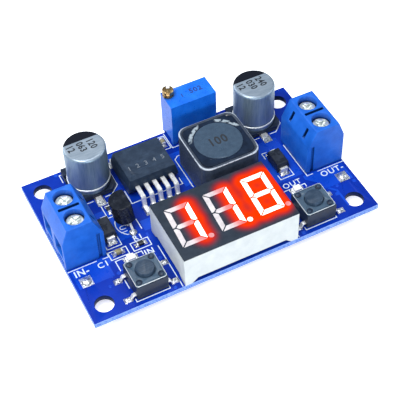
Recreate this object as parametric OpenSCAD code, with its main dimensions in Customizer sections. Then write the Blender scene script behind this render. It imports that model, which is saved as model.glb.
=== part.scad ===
// Step-down (buck) converter module with a three-digit voltage readout.
// Frame: +X runs along the board from the input end to the output end, +Y runs to the
// edge that carries the trimmer, +Z points up out of the component side. The origin is the
// centre of the four mounting holes on the underside of the board. All sizes in millimetres.
// The piece that takes most skill is the readout: mitred and leaning segment bars that sit
// flush in windows of the dark face and reach down into the light wells of the white housing.

/* [Board] */
// length of the board along X
board_length = 57; // [56.5:0.5:60]
// width of the board along Y
board_width = 35.4; // [35.4:0.1:36.4]
// thickness of the board
board_thickness = 1.2; // [1:0.1:1.6]
// distance between mounting-hole centres along X
mount_spacing_x = 50.6; // [50.2:0.1:51]
// distance between mounting-hole centres along Y
mount_spacing_y = 29; // [28.6:0.1:29.2]
// diameter of the mounting holes
mount_hole_d = 3.5; // [3:0.1:3.6]

/* [Terminal blocks] */
// how far the wire side of a block stands inside the end of the board
block_inset = 0.1; // [0:0.1:0.3]
// where the middle of the blocks stands along Y
block_y = 0.05; // [-0.2:0.05:0.2]
// depth of a block, wire side to inner side
block_depth = 7.8; // [7.6:0.1:8]
// length of a block along Y
block_length = 10; // [9.9:0.1:10.2]
// height of a block
block_height = 10.4; // [10.2:0.1:10.8]
// height of the shoulder on the wire side
wire_shoulder = 7.1; // [7:0.1:7.4]
// height of the shoulder on the inner side
inner_shoulder = 6.6; // [6.5:0.1:7]
// distance between the two poles
pole_pitch = 5; // [4.98:0.01:5.02]
// diameter of the screw wells
well_d = 3.6; // [3.5:0.05:3.7]
// width of a wire entry
entry_width = 3.5; // [3.2:0.1:3.5]
// diameter of a clamp-screw head
clamp_head_d = 3.3; // [3.1:0.1:3.4]
// how deep a screw head stands below the top of the block
clamp_head_depth = 1.2; // [1.15:0.05:1.3]
// outside diameter of the clamp-screw thread
clamp_thread_d = 2.9; // [2.8:0.05:2.95]
// diameter of the pins that go through the board
block_pin_d = 1; // [0.9:0.05:1.1]

/* [Trimmer] */
// length of the trimmer along X
trimmer_length = 9.5; // [9.3:0.1:9.6]
// depth of the trimmer along Y
trimmer_depth = 4.8; // [4.7:0.1:4.9]
// height of the trimmer above the board
trimmer_height = 10.05; // [9.9:0.05:10.2]
// height of the feet under the trimmer
trimmer_foot = 0.9; // [0.4:0.1:1.2]
// diameter of the adjusting screw
adjuster_d = 2.2; // [2.1:0.05:2.3]
// how far the adjusting screw stands out
adjuster_rise = 1.5; // [1.4:0.1:1.6]

/* [Inductor] */
// side of the square shield
coil_side = 12; // [11.8:0.1:12.1]
// height of the inductor
coil_height = 8; // [7.8:0.1:8.2]
// radius of the upright corners of the shield
coil_corner = 1.9; // [1.6:0.1:2]
// wall of the shield at the middle of a side
coil_wall = 0.7; // [0.6:0.1:0.8]
// diameter of the drum core
drum_d = 9.1; // [8.9:0.1:9.3]

/* [Capacitors] */
// diameter of a can
can_d = 8; // [7.9:0.05:8.1]
// height of a capacitor above its pads
can_height = 10.2; // [10:0.1:10.4]
// side of the square base
can_base = 8.3; // [8.2:0.1:8.4]

/* [Regulator] */
// width of the body at its widest
reg_width = 10.1; // [9.9:0.1:10.2]
// height of the body
reg_height = 4.4; // [4.3:0.1:4.5]
// distance between leads
reg_pitch = 1.7; // [1.68:0.01:1.72]
// width of a lead
reg_lead_width = 0.8; // [0.7:0.05:0.9]

/* [Push buttons] */
// side of the switch body
key_side = 6; // [5.9:0.05:6.1]
// height of the cover plate's top
key_plate_top = 3.45; // [3.4:0.05:3.5]
// diameter of the button
key_button_d = 3.4; // [3.3:0.05:3.5]
// how far the button stands above the cover plate
key_button_rise = 0.8; // [0.7:0.1:0.9]
// how far the button travels
key_travel = 0.25; // [0.2:0.05:0.3]

/* [Readout] */
// length of the readout along X
readout_length = 22.6; // [22.5:0.1:22.8]
// width of the readout along Y
readout_width = 14; // [13.9:0.1:14.1]
// height of the readout
readout_height = 7.2; // [7.1:0.1:7.3]
// height of a digit
digit_height = 9.1; // [9:0.1:9.2]
// width of a digit
digit_width = 4.75; // [4.6:0.05:4.9]
// distance between digits
digit_pitch = 7.62; // [7.58:0.02:7.66]
// width of a segment bar
bar_width = 0.95; // [0.85:0.05:1.05]
// gap between two bars
bar_gap = 0.22; // [0.16:0.02:0.28]
// lean of the digits, sideways per height
digit_lean = 0.055; // [0:0.005:0.15]
// figure shown by the first digit
figure_1 = 1; // [0:9]
// figure shown by the second digit
figure_2 = 1; // [0:9]
// figure shown by the third digit
figure_3 = 8; // [0:9]
// digit after which the point is lit
point_after = 2; // [1:3]

/* [Hidden] */
$fn = 48;
e = 0.01;
tt = board_thickness;
pad_t = 0.1;
pt = tt + pad_t;
run_gap = 0.05;
slide_gap = 0.1;

// ---- places on the board ----
in_x = -board_length/2 + block_inset;
out_x = board_length/2 - block_inset;
// inner sides of the terminal blocks, and the long edges of the board
in_side = in_x + block_depth;
out_side = out_x - block_depth;
front_edge = -board_width/2;
back_edge = board_width/2;
readout_c = [0.1, front_edge + readout_width/2];
coil_gap = 1.6;
coil_c = [6.54, front_edge + readout_width + coil_gap + coil_side/2];
can_in = [in_side + 4, back_edge - 5.35];
can_out = [out_side - 2.15, back_edge - 5.7];
reg_gap = 0.95;
reg_c = [can_in[0] + can_base/2 + reg_gap + reg_width/2, back_edge - 8.4];
trim_c = [6.42, back_edge - 1.65];
key_in = [in_side + 3.75, front_edge + 4.1];
key_out = [out_side - 3.6, front_edge + 4.2];
diode_in = [in_side + 1.9, -0.25];
diode_out = [out_side - 3.55, -0.25];
ref_c = [in_side + 6.3, 0.1];
led_in = [in_side + 3.4, front_edge + 9.85];
led_out = [out_side - 3.6, front_edge + 10];
probe_in = [-board_length/2 + 2.3, front_edge + 8.94];
probe_out = [board_length/2 - 2.3, front_edge + 8.94];
// chip parts: x, y, turned
chip_res = [[in_side + 6.4, led_in[1] + 2.3, 0], [in_side + 4.5, 4.5, 90]];
chip_cap = [[in_side + 1.98, led_in[1] + 2.25, 0], [0.05, back_edge - 2.6, 90]];
under_res = [[-9, 4, 0], [-9, 6, 0], [-9, 8, 0], [12, 6, 90], [14, 6, 90], [16, 6, 90], [-9, 10, 0]];
under_cap = [[9, 9.5, 0], [-3, 10.5, 90], [9, 11.5, 0]];
mcu_c = [1.5, 4.5];

module colour_board() color([0.03, 0.13, 0.62]) children();
module colour_blue() color([0.10, 0.38, 0.90]) children();
module colour_tin() color([0.78, 0.79, 0.80]) children();
module colour_black() color([0.09, 0.10, 0.12]) children();
module colour_brass() color([0.72, 0.55, 0.25]) children();

// ---- terminal blocks ----
// A block in its own frame: wire side on x = 0, inner side on x = block_depth, bottom on z = 0.
screw_x = 3.7;
entry_sill = 2.3;
entry_top = 6.2;
box_top = 7.2;
box_low = 1.6;
box_len = 4;
box_half = 1.95;
box_wall = 0.3;
clamp_head_h = 0.8;
clamp_top = block_height - clamp_head_depth;
clamp_tip = 5.1;
plate_t = 0.3;
module poles() for (s = [-1, 1]) translate([0, s*pole_pitch/2, 0]) children();
module one_pole(s) translate([0, s*pole_pitch/2, 0]) children();
module at_input() translate([in_x, block_y, tt]) children();
module at_output() translate([out_x, block_y, tt]) rotate([0, 0, 180]) children();

module block_body() {
  difference() {
    rotate([90, 0, 0]) translate([0, 0, -block_length/2]) linear_extrude(block_length)
      polygon([[0, 0], [block_depth, 0], [block_depth, inner_shoulder],
        [block_depth - 1.75, block_height], [1.25, block_height], [0, wire_shoulder]]);
    poles() {
      translate([screw_x, 0, box_top - e]) cylinder(d = well_d, h = block_height);
      translate([screw_x - box_len/2, -box_half, -e]) cube([box_len, 2*box_half, box_top + e]);
      translate([-e, -entry_width/2, entry_sill])
        cube([screw_x, entry_width, entry_top - entry_sill]);
      translate([-e, -entry_width/2 + 0.3, 0.5]) cube([screw_x, entry_width - 0.6, 1]);
      // test slot in the inner slope
      translate([block_depth - 1.65, -0.32, inner_shoulder + 0.65]) cube([2, 0.64, 2.1]);
    }
    // slot between the two screws
    translate([screw_x - 1.95, -0.28, block_height - 1.5]) cube([3.9, 0.56, 2]);
    // keying groove in both ends
    for (s = [-1, 1]) translate([block_depth - 1.4, s*block_length/2 - 0.35, -e])
      cube([0.6, 0.7, inner_shoulder + 0.05]);
  }
}
module contact_boxes() {
  poles() {
    difference() {
      translate([screw_x - box_len/2, -box_half, box_low]) cube([box_len, 2*box_half, box_top - box_low]);
      translate([screw_x - box_len, -box_half + box_wall, box_low + 0.5])
        cube([2*box_len, 2*(box_half - box_wall), box_top - box_low - 1.3]);
      translate([screw_x, 0, 0]) cylinder(d = clamp_thread_d + 2*run_gap, h = block_height);
    }
    translate([screw_x, 0, -tt - 1.8]) cylinder(d = block_pin_d, h = tt + 1.8 + box_low + 0.1);
  }
}
module clamp_screw() {
  difference() {
    translate([screw_x, 0, 0]) {
      translate([0, 0, clamp_top - clamp_head_h]) cylinder(d = clamp_head_d, h = clamp_head_h - 0.15);
      translate([0, 0, clamp_top - 0.15 - e])
        cylinder(d1 = clamp_head_d, d2 = clamp_head_d - 0.3, h = 0.15 + e);
      translate([0, 0, clamp_tip]) cylinder(d = clamp_thread_d, h = clamp_top - clamp_tip - 0.4);
    }
    for (a = [20, 110]) translate([screw_x, 0, clamp_top - 0.5]) rotate([0, 0, a])
      translate([-1.35, -0.3, 0]) cube([2.7, 0.6, 1]);
    translate([screw_x, 0, clamp_top - 0.65]) cylinder(d = 1.1, h = 1);
  }
}
module clamp_plate() {
  w = 2*(box_half - box_wall - slide_gap);
  translate([screw_x - 1.6, -w/2, clamp_tip - plate_t]) cube([3.2, w, plate_t]);
}
module input_housing() colour_blue() at_input() block_body();
module output_housing() colour_blue() at_output() block_body();
module input_contacts() colour_brass() at_input() contact_boxes();
module output_contacts() colour_brass() at_output() contact_boxes();
module input_screw_front() colour_tin() at_input() one_pole(-1) clamp_screw();
module input_screw_back() colour_tin() at_input() one_pole(1) clamp_screw();
module output_screw_front() colour_tin() at_output() one_pole(1) clamp_screw();
module output_screw_back() colour_tin() at_output() one_pole(-1) clamp_screw();
module input_plate_front() colour_tin() at_input() one_pole(-1) clamp_plate();
module input_plate_back() colour_tin() at_input() one_pole(1) clamp_plate();
module output_plate_front() colour_tin() at_output() one_pole(1) clamp_plate();
module output_plate_back() colour_tin() at_output() one_pole(-1) clamp_plate();

// ---- trimmer ----
adjuster_at = [-trimmer_length/2 + 1.1, trimmer_depth/2 - 1.2];
adjuster_sink = 2.5;
trim_pin = 0.5;
module trimmer_place() translate([trim_c[0], trim_c[1], tt]) children();
module trimmer_body() colour_blue() trimmer_place() difference() {
  translate([-trimmer_length/2, -trimmer_depth/2, 0])
    cube([trimmer_length, trimmer_depth, trimmer_height]);
  // clear space between the end feet
  translate([-trimmer_length/2 + 1, -trimmer_depth, -e])
    cube([trimmer_length - 2, 2*trimmer_depth, trimmer_foot + e]);
  translate([-trimmer_length, -trimmer_depth/2 + 1, -e])
    cube([2*trimmer_length, trimmer_depth - 2, trimmer_foot + e]);
  translate([adjuster_at[0], adjuster_at[1], trimmer_height - adjuster_sink])
    cylinder(d = adjuster_d - 0.3 + 2*run_gap, h = adjuster_sink + 1);
}
module trimmer_adjuster() colour_brass() trimmer_place()
  translate([adjuster_at[0], adjuster_at[1], trimmer_height]) difference() {
    union() {
      translate([0, 0, -adjuster_sink]) cylinder(d = adjuster_d - 0.3, h = adjuster_sink + 1);
      cylinder(d = adjuster_d, h = 0.35);
      translate([0, 0, 0.6]) cylinder(d = adjuster_d, h = adjuster_rise - 0.7);
      translate([0, 0, adjuster_rise - 0.1 - e])
        cylinder(d1 = adjuster_d, d2 = adjuster_d - 0.2, h = 0.1 + e);
    }
    translate([0, 0, adjuster_rise - 0.75 + 0.5]) rotate([0, 0, 65])
      cube([2*adjuster_d, 0.6, 1], center = true);
  }
module trimmer_pin_places() for (i = [-1, 0, 1]) translate([trim_c[0] + 2.54*i, trim_c[1], 0]) children();
module trimmer_pins() colour_tin() trimmer_pin_places()
  translate([-trim_pin/2, -trim_pin/2, -1.6]) cube([trim_pin, trim_pin, tt + trimmer_foot + 1.6]);

// ---- inductor ----
module round_square(side, r) {
  square([side, side - 2*r], center = true);
  square([side - 2*r, side], center = true);
  for (x = [-1, 1], y = [-1, 1]) translate([x*(side/2 - r), y*(side/2 - r)]) circle(r = r);
}
resin_top = coil_height - 0.18;
flange_h = 1.3;
winding_d = drum_d - 0.8;
lug_t = 0.25;
module coil_place() translate([coil_c[0], coil_c[1], pt]) children();
module inductor_shield() color([0.13, 0.15, 0.19]) coil_place() difference() {
  translate([0, 0, lug_t]) linear_extrude(coil_height - lug_t) round_square(coil_side, coil_corner);
  translate([0, 0, -e]) linear_extrude(coil_height + 1)
    round_square(coil_side - 2*coil_wall, coil_corner - coil_wall);
}
module inductor_core() color([0.24, 0.28, 0.34]) coil_place() {
  translate([0, 0, lug_t]) cylinder(d = drum_d, h = flange_h);
  translate([0, 0, lug_t]) cylinder(d = 4.4, h = coil_height - lug_t - 0.1);
  translate([0, 0, coil_height - flange_h]) cylinder(d = drum_d, h = flange_h);
}
module inductor_winding() color([0.72, 0.36, 0.16]) coil_place() difference() {
  translate([0, 0, lug_t + flange_h]) cylinder(d = winding_d, h = coil_height - lug_t - 2*flange_h);
  translate([0, 0, 0]) cylinder(d = 4.4, h = coil_height);
}
module inductor_resin() color([0.05, 0.06, 0.09]) coil_place() difference() {
  translate([0, 0, coil_height - 1.7]) linear_extrude(resin_top - coil_height + 1.7)
    round_square(coil_side - 2*coil_wall, coil_corner - coil_wall);
  translate([0, 0, coil_height - 2]) cylinder(d = drum_d, h = 3);
}
module inductor_terminals() colour_tin() coil_place() for (s = [-1, 1]) {
  translate([-2.5, s*(coil_side/2 - 1.05) - 1.25, 0]) cube([5, 2.5, lug_t]);
  translate([-2.5, s*(coil_side/2 + 0.1) - 0.1, 0]) cube([5, 0.2, 1.6]);
}

// ---- capacitors ----
// the can stands on a square base; the base's cut corners and the plus lead face -Y
base_h = 1;
can_round = 0.5;
module can_shape() difference() {
  union() {
    translate([0, 0, base_h]) cylinder(d = can_d, h = 0.8);
    translate([0, 0, base_h]) cylinder(d = can_d - 0.5, h = 2);
    translate([0, 0, base_h + 1.1]) cylinder(d = can_d, h = can_height - base_h - 1.1 - can_round);
    rotate_extrude() {
      translate([can_d/2 - can_round, can_height - can_round]) circle(r = can_round);
      translate([0, can_height - 2*can_round]) square([can_d/2 - can_round, 2*can_round]);
    }
  }
}
module base_shape() difference() {
  union() {
    linear_extrude(base_h) difference() {
      translate([-can_base/2, -can_base/2]) square(can_base);
      for (s = [-1, 1]) translate([s*can_base/2, -can_base/2]) rotate(45) square(1.7, center = true);
    }
    // raised corners round the foot of the can
    for (s = [-1, 1]) linear_extrude(base_h + 0.9) difference() {
      translate([s*(can_base/2 - 0.9) - 0.9, can_base/2 - 1.8]) square(1.8);
      circle(d = can_d + 0.1);
    }
  }
  for (s = [-1, 1]) translate([-0.55, s > 0 ? -e : -can_base, -e]) cube([1.1, can_base + e, 0.3 + e]);
}
module can_leads() for (s = [-1, 1]) translate([-0.55, s > 0 ? 1.2 : -can_base/2 - 0.9, 0])
  cube([1.1, can_base/2 - 1.2 + 0.9, 0.3]);
module input_capacitor_can() color([0.70, 0.72, 0.75])
  translate([can_in[0], can_in[1], pt]) can_shape();
module input_capacitor_base() colour_black() translate([can_in[0], can_in[1], pt]) base_shape();
module input_capacitor_leads() colour_tin() translate([can_in[0], can_in[1], pt]) can_leads();
module output_capacitor_can() color([0.70, 0.72, 0.75])
  translate([can_out[0], can_out[1], pt]) can_shape();
module output_capacitor_base() colour_black() translate([can_out[0], can_out[1], pt]) base_shape();
module output_capacitor_leads() colour_tin() translate([can_out[0], can_out[1], pt]) can_leads();

// ---- regulator ----
// own frame: x across the leads, y from the leads (negative) to the tab (positive)
reg_front = -4.3;
reg_back = 4.3;
reg_part = 2.5;
tab_t = 1.27;
module reg_place() translate([reg_c[0], reg_c[1], pt]) children();
module reg_lead_profile() polygon([[reg_front + 0.8, reg_part + 0.3], [-6.95, reg_part + 0.3],
  [-7.25, reg_part], [-7.5, 0.5], [-9.1, 0.5], [-9.1, 0], [-7.05, 0], [-6.7, reg_part - 0.2],
  [reg_front + 0.8, reg_part - 0.2]]);
module reg_leads_raw() for (i = [-2:2]) translate([i*reg_pitch - reg_lead_width/2, 0, 0])
  rotate([90, 0, 90]) linear_extrude(reg_lead_width) reg_lead_profile();
module reg_tab_raw() {
  translate([-4.3, 0, 0]) cube([8.6, reg_back, tab_t]);
  translate([-4.9, reg_back, 0]) cube([9.8, 1.4, tab_t]);
}
module regulator_body() colour_black() reg_place() difference() {
  intersection() {
    rotate([90, 0, 0]) translate([0, 0, -10]) linear_extrude(20)
      polygon([[-reg_width/2 + 0.15, 0.05], [reg_width/2 - 0.15, 0.05], [reg_width/2, reg_part],
        [reg_width/2 - 0.45, reg_height], [-reg_width/2 + 0.45, reg_height], [-reg_width/2, reg_part]]);
    rotate([90, 0, 90]) translate([0, 0, -10]) linear_extrude(20)
      polygon([[reg_front + 1.2, 0], [reg_back, 0], [reg_back, reg_part], [reg_back - 0.35, reg_height + e],
        [reg_front + 0.3, reg_height + e], [reg_front, reg_part + 0.3], [reg_front, reg_part - 0.4]]);
  }
  reg_leads_raw();
  reg_tab_raw();
  translate([-3.35, -2.9, reg_height - 0.08]) cylinder(d = 1, h = 1);
}
module regulator_tab() colour_tin() reg_place() reg_tab_raw();
module regulator_leads() colour_tin() reg_place() reg_leads_raw();

// ---- push buttons ----
key_base_top = key_plate_top - 0.25;
key_well_d = 4.9;
key_floor = 1;
key_flange_t = 0.45;
key_dome_h = 0.5;
key_stem_low = key_floor + key_dome_h;
module key_base() difference() {
  union() {
    translate([-key_side/2, -key_side/2, 0.1]) cube([key_side, key_side, key_base_top - 0.1]);
    for (x = [-1, 1], y = [-1, 1]) translate([x*2.1, y*2.1, key_base_top - e])
      cylinder(d = 1.1, h = 0.42);
  }
  translate([0, 0, key_floor]) cylinder(d = key_well_d, h = 10);
  key_leads();
}
module key_cover() difference() {
  translate([0, 0, key_base_top]) linear_extrude(0.25) difference() {
    square(key_side - 0.2, center = true);
    for (x = [-1, 1], y = [-1, 1]) translate([x*2.1, y*2.1]) circle(d = 1.1);
    circle(d = key_button_d + 0.2);
  }
}
module key_button() {
  translate([0, 0, key_base_top - key_flange_t]) cylinder(d = 4.4, h = key_flange_t);
  translate([0, 0, key_base_top - e]) cylinder(d = key_button_d, h = 0.25 + key_button_rise - 0.1);
  translate([0, 0, key_plate_top + key_button_rise - 0.1 - 2*e])
    cylinder(d1 = key_button_d, d2 = key_button_d - 0.2, h = 0.1 + 2*e);
  translate([0, 0, key_stem_low]) cylinder(d = 1.8, h = key_base_top - key_stem_low - 0.1);
}
module key_dome() translate([0, 0, key_floor]) difference() {
  cylinder(d1 = 4.6, d2 = 2.2, h = key_dome_h);
  translate([0, 0, -e]) cylinder(d1 = 4.3, d2 = 1.9, h = key_dome_h - 0.1);
}
module key_leads() for (a = [0, 180]) rotate([0, 0, a]) for (y = [-2.25, 2.25])
  translate([0, y + 0.35, 0]) rotate([90, 0, 0]) linear_extrude(0.7)
    polygon([[key_side/2 - 0.5, 0.75], [key_side/2 + 0.45, 0.75], [key_side/2 + 0.8, 0],
      [key_side/2 + 2, 0], [key_side/2 + 2, 0.25], [key_side/2 + 0.97, 0.25],
      [key_side/2 + 0.62, 1], [key_side/2 - 0.5, 1]]);
module in_key() translate([key_in[0], key_in[1], pt]) children();
module out_key() translate([key_out[0], key_out[1], pt]) children();
module input_key_base() colour_black() in_key() key_base();
module input_key_cover() color([0.22, 0.27, 0.34]) in_key() key_cover();
module input_key_button() color([0.16, 0.19, 0.24]) in_key() key_button();
module input_key_dome() colour_tin() in_key() key_dome();
module input_key_leads() colour_tin() in_key() key_leads();
module output_key_base() colour_black() out_key() key_base();
module output_key_cover() color([0.22, 0.27, 0.34]) out_key() key_cover();
module output_key_button() color([0.16, 0.19, 0.24]) out_key() key_button();
module output_key_dome() colour_tin() out_key() key_dome();
module output_key_leads() colour_tin() out_key() key_leads();

// ---- readout ----
face_t = 0.25;
well_t = 0.9;
foot_h = 1;
readout_wall = 0.9;
potting_low = 1.3;
potting_top = 4.6;
digit_y = 0.08;
bar_mitre = bar_gap*0.7071;
// which bars each figure lights, bars in the order a to g
figures = [[1,1,1,1,1,1,0], [0,1,1,0,0,0,0], [1,1,0,1,1,0,1], [1,1,1,1,0,0,1], [0,1,1,0,0,1,1],
  [1,0,1,1,0,1,1], [1,0,1,1,1,1,1], [1,1,1,0,0,0,0], [1,1,1,1,1,1,1], [1,1,1,1,0,1,1]];
shown = [figure_1, figure_2, figure_3];
function lean(p) = [p[0] + digit_lean*p[1], p[1]];
function leaned(v) = [for (p = v) lean(p)];
function side_bar(sx, sy) = let (x = sx*digit_width/2, xi = sx*(digit_width/2 - bar_width),
    xm = sx*(digit_width/2 - 0.45*bar_width), y = sy*digit_height/2, m = sy*bar_mitre)
  [[x, y - m], [xi, y - sy*bar_width - m], [xi, sy*bar_width/2 + m], [xm, m], [x, m]];
function end_bar(sy) = let (x = digit_width/2 - bar_mitre, xi = x - bar_width, y = sy*digit_height/2,
    yi = y - sy*bar_width) [[-x, y], [x, y], [xi, yi], [-xi, yi]];
function mid_bar() = let (x = digit_width/2 - bar_width/2 - bar_mitre, xi = x - bar_width/2,
    h = bar_width/2) [[-x, 0], [-xi, h], [xi, h], [x, 0], [xi, -h], [-xi, -h]];
bars = [end_bar(1), side_bar(1, 1), side_bar(1, -1), end_bar(-1), side_bar(-1, -1), side_bar(-1, 1),
  mid_bar()];
module readout_place() translate([readout_c[0], readout_c[1], tt]) children();
// bars and points that are lit (want = 1) or dark (want = 0), as outlines
module bar_outlines(want) for (d = [0:2]) translate([(d - 1)*digit_pitch + 0.1, digit_y]) {
  for (b = [0:6]) if (figures[shown[d]][b] == want) polygon(leaned(bars[b]));
  if ((point_after == d + 1 ? 1 : 0) == want) translate([2.9, -4.25]) circle(d = 1);
}
module readout_housing() color([0.93, 0.93, 0.93]) readout_place() difference() {
  translate([-readout_length/2, -readout_width/2, 0])
    cube([readout_length, readout_width, readout_height - face_t]);
  translate([-readout_length/2 + readout_wall, -readout_width/2 + readout_wall, -e])
    cube([readout_length - 2*readout_wall, readout_width - 2*readout_wall, potting_top + e]);
  // openings between the corner feet, with sloping ends
  rotate([90, 0, 0]) translate([0, 0, -readout_width]) linear_extrude(2*readout_width)
    polygon([[-readout_length/2 + 1.4, -e], [readout_length/2 - 1.4, -e],
      [readout_length/2 - 2.5, foot_h], [-readout_length/2 + 2.5, foot_h]]);
  rotate([90, 0, 90]) translate([0, 0, -readout_length]) linear_extrude(2*readout_length)
    polygon([[-readout_width/2 + 1.4, -e], [readout_width/2 - 1.4, -e],
      [readout_width/2 - 2.5, foot_h], [-readout_width/2 + 2.5, foot_h]]);
  for (w = [0, 1]) translate([0, 0, readout_height - face_t - well_t]) linear_extrude(well_t + 1)
    bar_outlines(w);
}
module readout_face() color([0.20, 0.25, 0.34]) readout_place() translate([0, 0, readout_height - face_t])
  linear_extrude(face_t) difference() {
    square([readout_length, readout_width], center = true);
    bar_outlines(0);
    bar_outlines(1);
  }
module readout_bars_lit() color([1, 0.25, 0.1]) readout_place()
  translate([0, 0, readout_height - face_t - well_t]) linear_extrude(well_t + face_t) bar_outlines(1);
module readout_bars_dark() color([0.8, 0.76, 0.76]) readout_place()
  translate([0, 0, readout_height - face_t - well_t]) linear_extrude(well_t + face_t) bar_outlines(0);
module readout_potting() color([0.86, 0.84, 0.80]) readout_place() translate([0, 0, potting_low])
  translate([-readout_length/2 + readout_wall, -readout_width/2 + readout_wall, 0])
    cube([readout_length - 2*readout_wall, readout_width - 2*readout_wall, potting_top - potting_low]);
module readout_pin_places() for (i = [0:5], s = [-1, 1]) if (i < 5 || s < 0)
  translate([readout_c[0] + (i - 2.5)*2.54, readout_c[1] + s*5.08, 0]) children();
module readout_pins() colour_tin() readout_pin_places()
  translate([-0.25, -0.125, -1.6]) cube([0.5, 0.25, tt + potting_low + 1.6]);

// ---- diodes ----
// own frame: leads at both Y ends, cathode band at +Y
diode_part = 1.05;
module diode_feet() for (a = [0, 180]) rotate([0, 0, a]) translate([-0.75, 0, 0]) rotate([90, 0, 90])
  linear_extrude(1.5) polygon([[1.5, 0], [2.6, 0], [2.6, diode_part + 0.2], [1.8, diode_part + 0.2],
    [1.8, diode_part], [2.4, diode_part], [2.4, 0.2], [1.5, 0.2]]);
module diode_body() difference() {
  intersection() {
    rotate([90, 0, 0]) translate([0, 0, -5]) linear_extrude(10)
      polygon([[-1.2, 0.05], [1.2, 0.05], [1.32, diode_part], [1.15, 2.15], [-1.15, 2.15],
        [-1.32, diode_part]]);
    rotate([90, 0, 90]) translate([0, 0, -5]) linear_extrude(10)
      polygon([[-2, 0.05], [2, 0.05], [2.15, diode_part], [1.95, 2.15], [-1.95, 2.15],
        [-2.15, diode_part]]);
  }
  diode_feet();
}
module diode_bodies() colour_black() for (c = [diode_in, diode_out])
  translate([c[0], c[1], pt]) diode_body();
module diode_leads() colour_tin() for (c = [diode_in, diode_out])
  translate([c[0], c[1], pt]) diode_feet();

// ---- voltage reference in a half-round case ----
ref_low = 2.1;
ref_tall = 4.5;
ref_tilt = -7;
module ref_case() translate([ref_c[0] - 0.1, ref_c[1] + 0.35, tt + ref_low]) rotate([0, ref_tilt, 0])
  difference() {
    cylinder(d = 4.6, h = ref_tall);
    translate([1.25, -5, -1]) cube([5, 10, ref_tall + 2]);
  }
leg_w = 0.42;
ref_pin_pitch = 2.54;
module ref_pin_places() for (i = [-1, 0, 1]) translate([ref_c[0], ref_c[1] + i*ref_pin_pitch, 0]) children();
// each leg rises through the board, leans in under the case and goes up into it
module ref_legs_raw() for (i = [-1, 0, 1]) {
  foot = i*ref_pin_pitch;
  top = 0.35 + i*1.27;
  h = leg_w/2;
  low = tt + 0.6;
  high = tt + ref_low - 0.4;
  translate([ref_c[0] - h, ref_c[1], 0]) rotate([90, 0, 90]) linear_extrude(leg_w)
    polygon([[foot - h, -1.4], [foot + h, -1.4], [foot + h, low], [top + h, high],
      [top + h, high + 0.9], [top - h, high + 0.9], [top - h, high], [foot - h, low]]);
}
module reference_case() colour_black() difference() {
  ref_case();
  ref_legs_raw();
}
module reference_legs() colour_tin() ref_legs_raw();

// ---- indicator lamps, chip parts and controller ----
chip_l = 1.6;
chip_w = 0.8;
chip_end = 0.3;
module lamp_base_at(c) translate([c[0], c[1], pt]) translate([-1, -0.62, 0]) cube([2, 1.24, 0.3]);
module lamp_bases() color([0.86, 0.86, 0.82]) for (c = [led_in, led_out]) lamp_base_at(c);
module lamp_lenses() color([0.97, 0.97, 0.97]) for (c = [led_in, led_out])
  translate([c[0] - 0.7, c[1] - 0.62, pt + 0.3]) cube([1.4, 1.24, 0.5]);
module chip_middle(c, h) translate([c[0], c[1], 0]) rotate([0, 0, c[2]])
  translate([-chip_l/2 + chip_end, -chip_w/2, 0]) cube([chip_l - 2*chip_end, chip_w, h]);
module chip_ends(c, h) translate([c[0], c[1], 0]) rotate([0, 0, c[2]]) for (s = [-1, 1])
  translate([s*(chip_l - chip_end)/2 - chip_end/2, -chip_w/2, 0]) cube([chip_end, chip_w, h]);
res_h = 0.45;
cap_h = 0.8;
module flipped() mirror([0, 0, 1]) children();
module chip_resistors() color([0.12, 0.13, 0.15]) {
  translate([0, 0, pt]) for (c = chip_res) chip_middle(c, res_h);
  translate([0, 0, -pad_t]) flipped() for (c = under_res) chip_middle(c, res_h);
}
module chip_capacitors() color([0.62, 0.50, 0.33]) {
  translate([0, 0, pt]) for (c = chip_cap) chip_middle(c, cap_h);
  translate([0, 0, -pad_t]) flipped() for (c = under_cap) chip_middle(c, cap_h);
}
module chip_caps() colour_tin() {
  translate([0, 0, pt]) {
    for (c = chip_res) chip_ends(c, res_h);
    for (c = chip_cap) chip_ends(c, cap_h);
  }
  translate([0, 0, -pad_t]) flipped() {
    for (c = under_res) chip_ends(c, res_h);
    for (c = under_cap) chip_ends(c, cap_h);
  }
}
mcu_pitch = 0.65;
mcu_rows = 10;
module mcu_place() translate([mcu_c[0], mcu_c[1], -pad_t]) flipped() children();
module mcu_legs_raw() for (a = [0, 180]) rotate([0, 0, a]) for (i = [0:mcu_rows - 1])
  translate([(i - (mcu_rows - 1)/2)*mcu_pitch - 0.12, 0, 0]) rotate([90, 0, 90]) linear_extrude(0.24)
    polygon([[1.9, 0.45], [2.5, 0.45], [2.65, 0], [3.2, 0], [3.2, 0.14], [2.76, 0.14],
      [2.6, 0.6], [1.9, 0.6]]);
module controller_body() colour_black() mcu_place() difference() {
  translate([-3.25, -2.2, 0.08]) cube([6.5, 4.4, 0.95]);
  mcu_legs_raw();
  translate([-2.5, 1.4, 0.95]) cylinder(d = 0.7, h = 1);
}
module controller_legs() colour_tin() mcu_place() mcu_legs_raw();

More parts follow.
